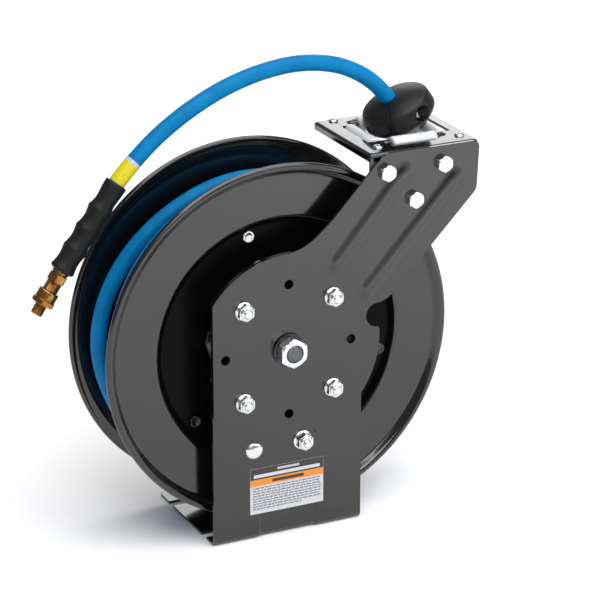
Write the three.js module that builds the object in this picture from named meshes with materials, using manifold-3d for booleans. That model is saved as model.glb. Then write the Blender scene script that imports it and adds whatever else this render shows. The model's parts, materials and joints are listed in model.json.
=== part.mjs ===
// Spring-rewind open hose reel: one bent stand, a bolted guide arm with a four-roller outlet, a dished drum
// on a fixed hollow shaft, and an air hose that ends in a rubber grip and a brass fitting.
// Millimetres, +Z up. The origin is on the floor below the shaft, in the drum's middle plane (Y = 0).
// The stand is on the -Y side. Everything is drawn about the shaft, so the heights below are from its axis.
import * as THREE from "three";
import { mergeVertices } from "three/addons/utils/BufferGeometryUtils.js";
import Module from "manifold-3d";

const wasm = await Module();
wasm.setup();

// ---------- driving dimensions ----------
const SHAFT_HEIGHT = 219; // shaft axis above the floor
const SHEET = 3; // stand, arm and bracket sheet
const ARM_FRONT = -77.25; // front face of the guide arm
const POST_FRONT = ARM_FRONT + SHEET;
const POST_BACK = POST_FRONT + SHEET;
const HALF_WIDTH = 89.5; // half the stand's width
const FOOT_BACK = 75.75; // far edge of the foot
const FLOOR = -SHAFT_HEIGHT;
const PLAY = 0.3; // gap between pieces that touch or turn on each other

const RIM_R = 204.2; // outside of the drum flanges
const RIM_Y = 54.2; // middle of each flange's rolled rim
const FACE_Y = 51.25; // outer face of the flange's flat ring
const DISH_Y = 43.25; // outer face of the flange's sunk middle
const FLANGE_SHEET = 1.5;
const CORE_R = 141.3; // barrel that the hose winds on
const TIE_BOLTS = [[129, 105], [125, 218.5], [129, 346]]; // radius and angle of each tie bolt

const HOSE_R = 9;
const WOUND_R = 182; // outside of the wound hose on the stand's side
const FIRST_LAYER_R = 159.5;
const LEAD_TURN = 110; // the hose's inner end leaves the swivel at this angle

const BOLT_CIRCLE = 75; // radius of the arm's eight holes
const ARM_DISC_R = 110;
const TILT = Math.PI / 2; // turns a flat outline from the XY plane into the XZ plane

const GUIDE = { x: 167.5, y: 0, top: 206 }; // middle of the roller guide, and its top face
const BRACKET = { left: 98, right: 231, back: 65, lip: 9 };
const ROLLER_R = 8.6;
const END_AXIS = 202.6; // height of the front and rear rollers
const SIDE_AXIS = 199.5; // the side rollers sit a little lower
const SIDE_OFFSET = 40.5; // side rollers from the middle
const END_OFFSET = 41; // front and rear rollers from the middle
const SIDE_LENGTH = 62;
const END_LENGTH = 54;
const JOURNAL = { r: 4, length: 6.5 };

const PAWL_PIVOT = { x: 17.6, z: -110.2 };
const ANCHOR = { x: -40.3, z: -112.4 };
const BALL = { x: 170, z: 227, lean: 26, turn: -36 }; // hose stop: its middle, its axis' lean and its turn about it

// ---------- finishes ----------
const FINISH = {
  black: { color: 0x1b1b1d, roughness: 0.25, metalness: 0.1 },
  zinc: { color: 0xc9ccd0, roughness: 0.3, metalness: 1 },
  steel: { color: 0x8a8d91, roughness: 0.4, metalness: 1 },
  brass: { color: 0xb08a45, roughness: 0.3, metalness: 1 },
  hose: { color: 0x0a6fc2, roughness: 0.45, metalness: 0 },
  rubber: { color: 0x1a1a1b, roughness: 0.7, metalness: 0 },
  plastic: { color: 0x232324, roughness: 0.5, metalness: 0 },
  roller: { color: 0xd6d8da, roughness: 0.35, metalness: 0.2 },
  bronze: { color: 0x9c6f3c, roughness: 0.45, metalness: 1 },
  label: { color: 0xe9eaec, roughness: 0.5, metalness: 0 },
};

const reel = new THREE.Group();
reel.position.z = SHAFT_HEIGHT;

function add(name, geometry, finish, parent = reel) {
  const mesh = new THREE.Mesh(geometry, new THREE.MeshStandardMaterial(FINISH[finish]));
  mesh.name = name;
  parent.add(mesh);
  return mesh;
}

// ---------- solids ----------
function solid(geometry) {
  const bare = geometry.clone();
  bare.deleteAttribute("normal");
  bare.deleteAttribute("uv");
  const merged = mergeVertices(bare, 1e-4);
  const mesh = { numProp: 3, vertProperties: merged.attributes.position.array };
  const triVerts = new Uint32Array(merged.index.array);
  const made = new wasm.Manifold(new wasm.Mesh({ ...mesh, triVerts }));
  if (made.volume() > 0) return made;
  const turned = triVerts.slice();
  for (let i = 0; i < turned.length; i += 3) {
    turned[i] = triVerts[i + 1];
    turned[i + 1] = triVerts[i];
  }
  return new wasm.Manifold(new wasm.Mesh({ ...mesh, triVerts: turned }));
}

function shapeOf(manifold) {
  const mesh = manifold.getMesh();
  const geometry = new THREE.BufferGeometry();
  const points = new Float32Array(mesh.numVert * 3);
  for (let i = 0; i < mesh.numVert; i++) {
    points.set(mesh.vertProperties.subarray(i * mesh.numProp, i * mesh.numProp + 3), i * 3);
  }
  geometry.setAttribute("position", new THREE.BufferAttribute(points, 3));
  geometry.setIndex(new THREE.BufferAttribute(mesh.triVerts, 1));
  geometry.computeVertexNormals();
  return geometry;
}

const join = (...parts) => parts.reduce((a, b) => a.add(b));
const cut = (body, ...tools) => tools.reduce((a, b) => a.subtract(b), body);

// A cylinder between two points.
function rod(a, b, r, sides = 24) {
  const from = new THREE.Vector3(...a);
  const along = new THREE.Vector3(...b).sub(from);
  const geometry = new THREE.CylinderGeometry(r, r, along.length(), sides);
  geometry.applyQuaternion(
    new THREE.Quaternion().setFromUnitVectors(new THREE.Vector3(0, 1, 0), along.clone().normalize()),
  );
  const middle = from.addScaledVector(along, 0.5);
  return solid(geometry.translate(middle.x, middle.y, middle.z));
}

const rodY = (x, z, y0, y1, r, sides = 20) => rod([x, y0, z], [x, y1, z], r, sides);
const hexRadius = (acrossFlats) => acrossFlats / Math.sqrt(3);

// A hexagon bar along Y, with two corners up and down.
function hexY(x, z, y0, y1, acrossFlats) {
  const geometry = new THREE.CylinderGeometry(hexRadius(acrossFlats), hexRadius(acrossFlats), y1 - y0, 6);
  return solid(geometry.translate(x, (y0 + y1) / 2, z));
}

function box(x0, x1, y0, y1, z0, z1) {
  const geometry = new THREE.BoxGeometry(x1 - x0, y1 - y0, z1 - z0);
  return solid(geometry.translate((x0 + x1) / 2, (y0 + y1) / 2, (z0 + z1) / 2));
}

// A body of revolution about the Y axis; its profile is a closed list of [radius, y].
function turned(profile, sides = 40) {
  const points = profile.map(([r, y]) => new THREE.Vector2(r, y));
  points.push(points[0].clone());
  return solid(new THREE.LatheGeometry(points, sides));
}

const ring = (rIn, rOut, y0, y1, sides = 40) =>
  turned([[rIn, y0], [rOut, y0], [rOut, y1], [rIn, y1]], sides);

// An outline in X and Z, made thick from y0 to y1.
function plateY(shape, y0, y1, curveSegments = 12) {
  const geometry = new THREE.ExtrudeGeometry(shape, { depth: y1 - y0, bevelEnabled: false, curveSegments });
  return solid(geometry.rotateX(TILT).translate(0, y1, 0));
}

// An outline in Y and Z, made thick from x0 to x1.
function plateX(shape, x0, x1, curveSegments = 6) {
  const geometry = new THREE.ExtrudeGeometry(shape, { depth: x1 - x0, bevelEnabled: false, curveSegments });
  return solid(geometry.rotateX(TILT).rotateZ(TILT).translate(x0, 0, 0));
}

function tube(points, r, steps, sides = 12) {
  const section = new THREE.Shape();
  for (let i = 0; i < sides; i++) {
    const turn = (2 * Math.PI * i) / sides;
    section[i ? "lineTo" : "moveTo"](r * Math.cos(turn), r * Math.sin(turn));
  }
  section.closePath();
  const path = new THREE.CatmullRomCurve3(points.map((p) => new THREE.Vector3(...p)), false, "centripetal");
  return new THREE.ExtrudeGeometry(section, { steps, extrudePath: path, bevelEnabled: false });
}

const polar = (r, degrees) => {
  const turn = THREE.MathUtils.degToRad(degrees);
  return [r * Math.cos(turn), r * Math.sin(turn)];
};

// ---------- stand ----------
const BEND_R = 7; // outside of the stand's bend
const POST_TOP_R = 111;
const RIB = { half: 34, depth: 1.75, top: -150, end: -44 };
const SLOT = { y: 45.5, width: 13, depth: 34 };
const BOLT_HOLE_R = 5.4;
const ARM_BOLT_ANGLES = [45, 135, 225, 315];

// Section of the bent sheet in Y and Z: a layer from `inset` to `inset + thick` under the outer skin.
function bentSection(inset, thick, top, end) {
  const y = POST_FRONT + inset;
  const z = FLOOR + inset;
  const r = BEND_R - inset;
  const shape = new THREE.Shape();
  shape.moveTo(y, top);
  shape.lineTo(y, z + r);
  shape.absarc(y + r, z + r, r, Math.PI, 1.5 * Math.PI, false);
  shape.lineTo(end, z);
  shape.lineTo(end, z + thick);
  shape.lineTo(y + r, z + thick);
  shape.absarc(y + r, z + r, r - thick, 1.5 * Math.PI, Math.PI, true);
  shape.lineTo(y + thick, top);
  shape.closePath();
  return shape;
}

function postTop() {
  const shape = new THREE.Shape();
  const corner = Math.acos(HALF_WIDTH / POST_TOP_R);
  shape.moveTo(-HALF_WIDTH, -1);
  shape.lineTo(HALF_WIDTH, -1);
  shape.lineTo(HALF_WIDTH, POST_TOP_R * Math.sin(corner));
  shape.absarc(0, 0, POST_TOP_R, corner, Math.PI - corner, false);
  shape.closePath();
  return plateY(shape, POST_FRONT, POST_BACK, 24);
}

function footSlot(side, y) {
  const inner = side * (HALF_WIDTH - SLOT.depth);
  const outer = side * (HALF_WIDTH + 1);
  const half = SLOT.width / 2;
  const run = box(Math.min(inner, outer), Math.max(inner, outer), y - half, y + half, FLOOR - 1, FLOOR + 9);
  return run.add(rod([inner, y, FLOOR - 1], [inner, y, FLOOR + 9], half, 16));
}

function stand() {
  const sheet = plateX(bentSection(0, SHEET, 0, FOOT_BACK), -HALF_WIDTH, HALF_WIDTH);
  const pressed = plateX(bentSection(RIB.depth, SHEET, RIB.top, RIB.end), -RIB.half - 1.5, RIB.half + 1.5);
  const sunk = plateX(bentSection(-0.01, RIB.depth + 0.01, RIB.top - 2, RIB.end - 2), -RIB.half, RIB.half);
  const holes = [0, 45, 90, 135, 180, 225, 270, 315].map((angle) => {
    const [x, z] = polar(BOLT_CIRCLE, angle);
    return rodY(x, z, POST_FRONT - 1, POST_BACK + 1, BOLT_HOLE_R, 16);
  });
  const slots = [-1, 1].flatMap((side) => [-SLOT.y, SLOT.y].map((y) => footSlot(side, y)));
  const body = join(cut(join(sheet, postTop()), sunk), pressed);
  return cut(
    body,
    ...holes,
    ...slots,
    rodY(0, 0, POST_FRONT - 1, POST_BACK + 1, 10.5),
    rodY(PAWL_PIVOT.x, PAWL_PIVOT.z, POST_FRONT - 1, POST_BACK + 1, 4.5, 16),
    rodY(ANCHOR.x, ANCHOR.z, POST_FRONT - 1, POST_BACK + 1, 4.5, 16),
  );
}

// ---------- guide arm ----------
const NOTCHES = [{ x: 107, z: 23, r: 13.7 }, { x: 19, z: -111, r: 16.5 }]; // clear the pawl's nut

function armOutline() {
  const flat = HALF_WIDTH;
  const edge = Math.sqrt(ARM_DISC_R ** 2 - flat ** 2);
  const shape = new THREE.Shape();
  shape.moveTo(-flat, -edge);
  shape.lineTo(-flat, edge);
  shape.absarc(0, 0, ARM_DISC_R, Math.PI - Math.acos(flat / ARM_DISC_R), Math.PI / 2, true);
  shape.bezierCurveTo(20, 112, 34, 123, 54, 142);
  shape.lineTo(107, 198);
  shape.quadraticCurveTo(114, 206, 122, 206);
  shape.lineTo(224, 206);
  shape.quadraticCurveTo(230, 206, 230, 200);
  shape.lineTo(228, 155);
  shape.quadraticCurveTo(227.5, 150, 224, 146.5);
  shape.lineTo(126, 45.5);
  shape.quadraticCurveTo(116, 36, 101, 36);
  shape.lineTo(100, 20);
  shape.lineTo(ARM_DISC_R * Math.cos(0.06), ARM_DISC_R * Math.sin(0.06));
  shape.absarc(0, 0, ARM_DISC_R, 0.06, Math.acos(flat / ARM_DISC_R) - Math.PI, true);
  shape.closePath();
  return shape;
}

// A long pressed rib: a round ridge on the front and a groove behind it.
const RIDGE = { outer: 14, inner: 11, sink: 11.5 };

function armRib(from, to) {
  const y = ARM_FRONT + RIDGE.sink;
  const make = (r) => {
    const ends = [from, to].map(([x, z]) =>
      solid(new THREE.SphereGeometry(r, 28, 14).rotateX(TILT).translate(x, y, z)),
    );
    return join(rod([from[0], y, from[1]], [to[0], y, to[1]], r, 28), ...ends);
  };
  const ridge = make(RIDGE.outer).subtract(box(-300, 300, ARM_FRONT + 0.5, 0, -300, 300));
  return { ridge, groove: make(RIDGE.inner) };
}

function guideArm() {
  const ribs = [armRib([58.5, 90], [146, 190.5]), armRib([95.5, 54], [209, 176])];
  const holes = [0, 45, 90, 135, 180, 225, 270, 315].map((angle) => {
    const [x, z] = polar(BOLT_CIRCLE, angle);
    return rodY(x, z, ARM_FRONT - 4, POST_FRONT + 1, BOLT_HOLE_R, 16);
  });
  const notches = NOTCHES.map(({ x, z, r }) => rodY(x, z, ARM_FRONT - 1, POST_FRONT + 1, r, 24));
  const bolts = BRACKET_BOLTS.map(([x, z]) => rodY(x, z, ARM_FRONT - 4, POST_FRONT + 1, BOLT_HOLE_R, 16));
  const sheet = join(plateY(armOutline(), ARM_FRONT, POST_FRONT, 8), ...ribs.map((rib) => rib.ridge));
  const keep = box(-300, 300, ARM_FRONT - 5, POST_FRONT, -300, 206);
  return cut(
    sheet.intersect(keep),
    ...ribs.map((rib) => rib.groove),
    ...holes,
    ...notches,
    ...bolts,
    rodY(0, 0, ARM_FRONT - 1, POST_FRONT + 1, 10.5),
  );
}

// ---------- fasteners ----------
const BRACKET_BOLTS = [[116.5, 185], [185.5, 186], [150.5, 150]];

// A hex bolt along Y: its head ends at `face`, and its thread runs to `tip`.
function hexBolt(x, z, face, tip, acrossFlats, headHeight, r) {
  const side = Math.sign(face - tip);
  const far = face + side * headHeight;
  return join(
    hexY(x, z, Math.min(face, far), Math.max(face, far), acrossFlats),
    rodY(x, z, Math.min(face, tip), Math.max(face, tip), r, 12),
  );
}

// A lock nut on its own round flange, standing out to -Y from `face`.
function lockNut(x, z, face, flangeR, acrossFlats, height, boreR) {
  const body = join(
    rodY(x, z, face - 2, face, flangeR, 16),
    hexY(x, z, face - height + 3, face - 2, acrossFlats),
    rodY(x, z, face - height, face - height + 3, acrossFlats / 2 - 0.6, 16),
  );
  return body.subtract(rodY(x, z, face - height - 1, face + 1, boreR, 12));
}

function armFasteners() {
  ARM_BOLT_ANGLES.forEach((angle, i) => {
    const [x, z] = polar(BOLT_CIRCLE, angle);
    add(`arm_bolt_${i + 1}`, shapeOf(hexBolt(x, z, POST_BACK, ARM_FRONT - 13, 17, 6.25, 5)), "zinc");
    add(`arm_nut_${i + 1}`, shapeOf(lockNut(x, z, ARM_FRONT, 10.5, 17, 11.5, 5.3)), "zinc");
  });
}

function bracketBolts() {
  BRACKET_BOLTS.forEach(([x, z], i) => {
    const bolt = hexBolt(x, z, ARM_FRONT, POST_BACK + 9.5, 17, 7, 5);
    add(`bracket_bolt_${i + 1}`, shapeOf(bolt), "zinc");
  });
}

// ---------- roller guide ----------
const SCREWS = { x: 50, y: 54, headR: 5.6, shankR: 2.5 };
const POCKET = 1.5; // room round each roller in its slot
const BUMP_R = 7;

// The cross-shaped opening that the rollers lie round.
function guideOpening(z0, z1) {
  const { x, y } = GUIDE;
  const sideIn = SIDE_OFFSET + ROLLER_R + POCKET;
  const endIn = END_OFFSET + ROLLER_R + POCKET;
  const sideHalf = SIDE_LENGTH / 2 + POCKET;
  const endHalf = END_LENGTH / 2 + POCKET;
  return join(
    box(x - sideIn, x + sideIn, y - sideHalf, y + sideHalf, z0, z1),
    box(x - endHalf, x + endHalf, y - endIn, y + endIn, z0, z1),
  );
}

// Direction, place and length of each roller.
const ROLLERS = {
  roller_left: { along: "y", x: GUIDE.x - SIDE_OFFSET, y: GUIDE.y, z: SIDE_AXIS, length: SIDE_LENGTH },
  roller_right: { along: "y", x: GUIDE.x + SIDE_OFFSET, y: GUIDE.y, z: SIDE_AXIS, length: SIDE_LENGTH },
  roller_front: { along: "x", x: GUIDE.x, y: GUIDE.y - END_OFFSET, z: END_AXIS, length: END_LENGTH },
  roller_rear: { along: "x", x: GUIDE.x, y: GUIDE.y + END_OFFSET, z: END_AXIS, length: END_LENGTH },
};

function alongRoller({ along, x, y, z }, from, to, r, sides) {
  if (along === "x") return rod([x + from, y, z], [x + to, y, z], r, sides);
  return rod([x, y + from, z], [x, y + to, z], r, sides);
}

// Pressed bumps that hold the journals, and the channels in them.
function journalSeats() {
  const bumps = [];
  const channels = [];
  for (const roller of Object.values(ROLLERS)) {
    const end = roller.length / 2 + POCKET;
    for (const side of [-1, 1]) {
      const tip = roller.length / 2 + JOURNAL.length + 0.5;
      bumps.push(alongRoller(roller, side * (end - 0.01), side * (tip + 1.5), BUMP_R, 16));
      channels.push(alongRoller(roller, side * (end - 3), side * tip, JOURNAL.r + 0.4, 16));
    }
  }
  return { bumps: join(...bumps), channels: join(...channels) };
}

function screwHoles(z0, z1, r) {
  return [-1, 1].flatMap((sx) =>
    [-1, 1].map((sy) => {
      const x = GUIDE.x + sx * SCREWS.x;
      const y = GUIDE.y + sy * SCREWS.y;
      return rod([x, y, z0], [x, y, z1], r, 12);
    }),
  );
}

// The bracket's turned-down front, behind the arm.
function bracketFace() {
  const { left } = BRACKET;
  const shape = new THREE.Shape();
  shape.moveTo(left, GUIDE.top - SHEET);
  shape.lineTo(left, 177);
  shape.lineTo(138, 138);
  shape.lineTo(163, 138);
  shape.lineTo(222, 176);
  shape.lineTo(225, GUIDE.top - SHEET);
  shape.closePath();
  return shape;
}

function guideBracket() {
  const { left, right, back, lip } = BRACKET;
  const { top } = GUIDE;
  const under = top - SHEET;
  const { bumps, channels } = journalSeats();
  const upper = bumps.intersect(box(left, right, POST_FRONT, back, under, top + 20));
  const plate = join(
    box(left, right, POST_FRONT, back, under, top),
    plateY(bracketFace(), POST_FRONT, POST_BACK, 4),
    box(left, left + SHEET, POST_FRONT, back, top - lip, under),
    box(right - SHEET, right, POST_FRONT, back, top - lip, under),
    box(left, right, back - SHEET, back, top - lip, under),
    upper,
  );
  const nuts = BRACKET_BOLTS.map(([x, z]) => hexY(x, z, POST_BACK - 0.01, POST_BACK + 8, 17));
  const bores = BRACKET_BOLTS.map(([x, z]) => rodY(x, z, POST_FRONT - 1, POST_BACK + 9, 5.3, 16));
  const round = edgeRounds(left, right, back, top, top - lip);
  return cut(
    join(plate, ...nuts),
    guideOpening(under - 1, top + 1),
    channels,
    ...screwHoles(under - 1, top + 1, 2.9),
    ...bores,
    ...round,
  );
}

// What is cut off the bracket's long bends, so that they are round.
const EDGE_R = 4;
function edgeRounds(left, right, back, top, bottom) {
  const quarter = new THREE.Shape();
  quarter.moveTo(0.01, 0.01);
  quarter.lineTo(-EDGE_R, 0.01);
  quarter.lineTo(-EDGE_R, 0);
  quarter.absarc(-EDGE_R, -EDGE_R, EDGE_R, Math.PI / 2, 0, true);
  quarter.lineTo(0.01, -EDGE_R);
  quarter.closePath();
  const width = right - left + 2;
  const depth = back - POST_FRONT + 2;
  const make = (length) =>
    new THREE.ExtrudeGeometry(quarter, { depth: length, bevelEnabled: false, curveSegments: 5 });
  return [
    solid(make(depth).rotateX(TILT).translate(right, back + 1, top)),
    solid(make(depth).rotateX(TILT).rotateZ(Math.PI).translate(left, POST_FRONT - 1, top)),
    solid(make(width).rotateX(TILT).rotateZ(TILT).translate(left - 1, back, top)),
    solid(make(width).rotateX(TILT).rotateZ(-TILT).translate(right + 1, POST_FRONT, top)),
    solid(make(top - bottom + 2).translate(right, back, bottom - 1)),
    solid(make(top - bottom + 2).rotateZ(TILT).translate(left, back, bottom - 1)),
  ];
}

function rollerKeeper() {
  const inset = SHEET + 1;
  const top = GUIDE.top - SHEET - 0.4;
  const { bumps, channels } = journalSeats();
  const lower = bumps.intersect(box(0, 300, -100, 100, top - 20, top));
  const plate = box(
    BRACKET.left + inset,
    BRACKET.right - inset,
    POST_BACK + inset,
    BRACKET.back - inset,
    top - SHEET,
    top,
  );
  const collars = screwHoles(top - 8, top - SHEET + 0.5, 5);
  return cut(
    join(plate, lower, ...collars),
    guideOpening(top - SHEET - 10, top + 1),
    channels,
    ...screwHoles(top - 9, top + 1, 2.9),
  );
}

function rollers() {
  for (const [name, roller] of Object.entries(ROLLERS)) {
    const half = roller.length / 2;
    const barrel = alongRoller(roller, -half, half, ROLLER_R, 20);
    const journals = alongRoller(roller, -half - JOURNAL.length, half + JOURNAL.length, JOURNAL.r, 12);
    add(name, shapeOf(barrel.add(journals)), "roller");
  }
}

function guideScrews() {
  let count = 0;
  for (const sx of [-1, 1]) {
    for (const sy of [-1, 1]) {
      count += 1;
      const x = GUIDE.x + sx * SCREWS.x;
      const y = GUIDE.y + sy * SCREWS.y;
      const { top } = GUIDE;
      const slot = (a, b) => box(x - a, x + a, y - b, y + b, top + 1.6, top + 4);
      const head = cut(rod([x, y, top], [x, y, top + 3.2], SCREWS.headR, 12), slot(3, 0.6), slot(0.6, 3));
      const shank = rod([x, y, top - 12], [x, y, top + 1], SCREWS.shankR, 8);
      add(`guide_screw_${count}`, shapeOf(head.add(shank)), "zinc");
    }
  }
}

// ---------- shaft and its nut ----------
const SHAFT_R = 10;
const PORT_Y = 26; // where air crosses from the shaft to the swivel

function mainShaft() {
  const outside = turned([
    [0, -93], [8.5, -93], [SHAFT_R, -91.5], [SHAFT_R, POST_BACK], [17, POST_BACK], [17, POST_BACK + 5],
    [SHAFT_R, POST_BACK + 5], [SHAFT_R, -38], [13, -38], [13, -5], [SHAFT_R, -5],
    [SHAFT_R, 43.75], [9, 43.75], [9, 45.5], [SHAFT_R, 45.5], [SHAFT_R, 51], [8, 51], [8, 62], [0, 62],
  ], 24);
  return cut(
    outside,
    rodY(0, 0, PORT_Y - 3, 63, 4.5, 16),
    rod([0, PORT_Y, 0], [SHAFT_R + 2, PORT_Y, 0], 3, 12),
  );
}

function shaftNut() {
  const y1 = ARM_FRONT - 2.5;
  const y0 = y1 - 13;
  const chamfer = turned([
    [0, y0 - 1], [15, y0 - 1], [15.2, y0], [17.4, y0 + 2], [17.4, y1 + 1], [0, y1 + 1],
  ], 32);
  return cut(hexY(0, 0, y0, y1, 30).intersect(chamfer), rodY(0, 0, y0 - 1, y1 + 1, SHAFT_R + PLAY, 32));
}

// ---------- pawl ----------
const PAWL = { y0: -53.75, y1: -48.75 };
const RATCHET = { tip: 88, root: 79, teeth: 10, y0: -53.25, y1: -49.25 };

function pawl() {
  const shape = new THREE.Shape();
  shape.moveTo(PAWL_PIVOT.x - 6, PAWL_PIVOT.z - 9.5);
  shape.lineTo(-10, -120.5);
  shape.lineTo(-10, -112.5);
  shape.lineTo(-6, -106);
  shape.lineTo(-14, -92.5);
  shape.lineTo(-8, -90);
  shape.lineTo(8, -96);
  shape.lineTo(PAWL_PIVOT.x + 7, PAWL_PIVOT.z + 8.5);
  shape.closePath();
  const { x, z } = PAWL_PIVOT;
  const lever = plateY(shape, PAWL.y0, PAWL.y1);
  const boss = rodY(x, z, PAWL.y0, PAWL.y1, 11, 24);
  const pin = rodY(-6, -116, PAWL.y0 - 9, PAWL.y0 + 1, 2, 12);
  return cut(join(lever, boss, pin), rodY(x, z, PAWL.y0 - 1, PAWL.y1 + 1, 5.4, 24));
}

function pawlPivotBolt() {
  const { x, z } = PAWL_PIVOT;
  return join(
    rodY(x, z, -90.25, POST_BACK + 1, 4, 16),
    rodY(x, z, POST_BACK, PAWL.y0 - PLAY, 8, 20),
    rodY(x, z, PAWL.y0 - 1, PAWL.y1 + PLAY, 5, 24),
    rodY(x, z, PAWL.y1 + PLAY, PAWL.y1 + 2.5, 6, 20),
  );
}

// A domed carriage bolt; the pawl's spring hooks over its far end.
function springAnchorBolt() {
  const { x, z } = ANCHOR;
  const face = POST_FRONT;
  const dome = turned([[0, face - 4.25], [4, face - 3.9], [7.4, face - 2.5], [9.3, face], [0, face]], 24);
  const shank = rodY(x, z, face - 0.5, -50, 4, 16);
  return dome.translate([x, 0, z]).add(shank);
}

function pawlSpring() {
  const from = ANCHOR.x + 5;
  const to = -10;
  const points = [];
  const turns = 6;
  const perTurn = 8;
  for (let i = 0; i <= turns * perTurn; i++) {
    const angle = (2 * Math.PI * i) / perTurn;
    const x = from + ((to - from) * i) / (turns * perTurn);
    points.push([x, -59 + 3.6 * Math.cos(angle), -113.5 + 3.6 * Math.sin(angle)]);
  }
  return tube(points, 0.6, turns * perTurn, 4);
}

// ---------- drum ----------
function flangeProfile(side) {
  const inner = FLANGE_SHEET;
  return [
    [20, DISH_Y], [136.5, DISH_Y], [143.5, FACE_Y], [191, FACE_Y], [195.5, RIM_Y + 2], [198, RIM_Y + 3.6],
    [201.5, RIM_Y + 3.4], [RIM_R, RIM_Y], [201.5, RIM_Y - 3.4], [198, RIM_Y - 3.4], [193.5, FACE_Y - inner],
    [144.2, FACE_Y - inner], [137.2, DISH_Y - inner], [20, DISH_Y - inner],
  ].map(([r, y]) => [r, side * y]);
}

function tieHoles(r) {
  return TIE_BOLTS.map(([reach, angle]) => {
    const [x, z] = polar(reach, angle);
    return rodY(x, z, -60, 60, r, 12);
  });
}

function rearFlange() {
  const nuts = TIE_BOLTS.map(([reach, angle]) => {
    const [x, z] = polar(reach, angle);
    return hexY(x, z, DISH_Y - 0.01, DISH_Y + 5, 12);
  });
  return cut(join(turned(flangeProfile(1)), ...nuts), ...tieHoles(3.3));
}

function tieBolts() {
  TIE_BOLTS.forEach(([reach, angle], i) => {
    const [x, z] = polar(reach, angle);
    const bolt = hexBolt(x, z, -DISH_Y, 48, 12, 5, 3);
    const dimple = rodY(x, z, -DISH_Y - 6, -DISH_Y - 3, 2.8, 12);
    add(`tie_bolt_${i + 1}`, shapeOf(bolt.subtract(dimple)), "zinc");
  });
}

function drumCore() {
  const barrel = ring(CORE_R - 2, CORE_R, -44, 44);
  const leadHole = rod([118, PORT_Y, 40], [118, PORT_Y, 110], HOSE_R + 3, 16);
  return barrel.subtract(leadHole.rotate([0, -LEAD_TURN, 0]));
}

function ratchetWheel() {
  const shape = new THREE.Shape();
  for (let i = 0; i < RATCHET.teeth; i++) {
    const step = 360 / RATCHET.teeth;
    const start = i * step + 18;
    const corners = [[RATCHET.root, 0], [RATCHET.tip, 1], [RATCHET.tip, 10], [RATCHET.root, step - 6]];
    corners.forEach(([r, turn], k) => {
      const [x, z] = polar(r, start + turn);
      shape[i === 0 && k === 0 ? "moveTo" : "lineTo"](x, z);
    });
  }
  shape.closePath();
  const wheel = join(plateY(shape, RATCHET.y0, RATCHET.y1), rodY(0, 0, RATCHET.y1 - 1, -DISH_Y, 45, 32));
  return wheel.subtract(rodY(0, 0, RATCHET.y0 - 1, -DISH_Y + 1, 16.3, 32));
}

function hubBush() {
  return turned([
    [10.4, -56.25], [21, -56.25], [21, -53.5], [16, -53.5], [16, -40], [10.4, -40],
  ], 24);
}

function springCase() {
  const y0 = -DISH_Y + FLANGE_SHEET;
  return turned([[76, y0], [78, y0], [78, 0], [13.6, 0], [13.6, -2], [76, -2]], 32);
}

// The clock spring, as a coiled strip.
function mainSpring() {
  const turns = 6;
  const perTurn = 16;
  const inner = 18;
  const pitch = (72 - inner) / turns;
  const thick = 1.4;
  const side = (offset, reverse) => {
    const line = [];
    for (let i = 0; i <= turns * perTurn; i++) {
      line.push(polar(inner + offset + (pitch * i) / perTurn, (360 * i) / perTurn));
    }
    return reverse ? line.reverse() : line;
  };
  const outline = [...side(thick, false), ...side(0, true)].map(([x, z]) => new THREE.Vector2(x, z));
  return plateY(new THREE.Shape(outline), -39, -5);
}

function swivelBody() {
  const y1 = DISH_Y - FLANGE_SHEET;
  const outside = turned([
    [10.4, 14], [20, 14], [20, y1 - 3], [32, y1 - 3], [32, y1], [10.4, y1], [10.4, 36], [13, 36], [13, 33],
    [10.4, 33], [10.4, 30], [13.5, 30], [13.5, 22], [10.4, 22], [10.4, 19.5], [13, 19.5], [13, 16.5],
    [10.4, 16.5],
  ], 20);
  return outside.subtract(rod([11, PORT_Y, 0], [22, PORT_Y, 0], 3.5, 12).rotate([0, -LEAD_TURN, 0]));
}

function outletFitting() {
  const along = (a, b, r, sides) => rod([a, PORT_Y, 0], [b, PORT_Y, 0], r, sides);
  const hex = along(22, 34, hexRadius(17), 6);
  const body = cut(join(along(20.3, 23, 7, 16), hex, along(33, 52, 8, 16)), along(19, 53, 3.5, 12));
  return body.rotate([0, -LEAD_TURN, 0]);
}

const LEAD = [[52.5, 0], [64, 0], [84, 4], [100, 16], [110, 34], [113.5, 50], [114, 60]];

// The wound hose as one plain ring for each layer. The outer layer covers only the stand's side.
function hoseLayers() {
  add("hose_wound_inner", shapeOf(ring(CORE_R + 0.7, FIRST_LAYER_R, -46.5, 47)), "hose");
  add("hose_wound_outer", shapeOf(ring(FIRST_LAYER_R + PLAY, WOUND_R, -46.5, 13)), "hose");
}

// ---------- inlet ----------
function inletElbow() {
  const body = join(
    rodY(0, 0, 51.5, 71, 11.5, 20),
    rod([0, 63, 2], [0, 63, -20], 9.5, 20),
    rod([0, 63, -20], [0, 63, -31], hexRadius(21), 6),
    rod([0, 63, -31], [0, 63, -44], 6.7, 16),
  );
  return cut(body, rodY(0, 0, 50, 62.5, 8.3, 20), rod([0, 63, 0], [0, 63, -45], 4.5, 16));
}

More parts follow.
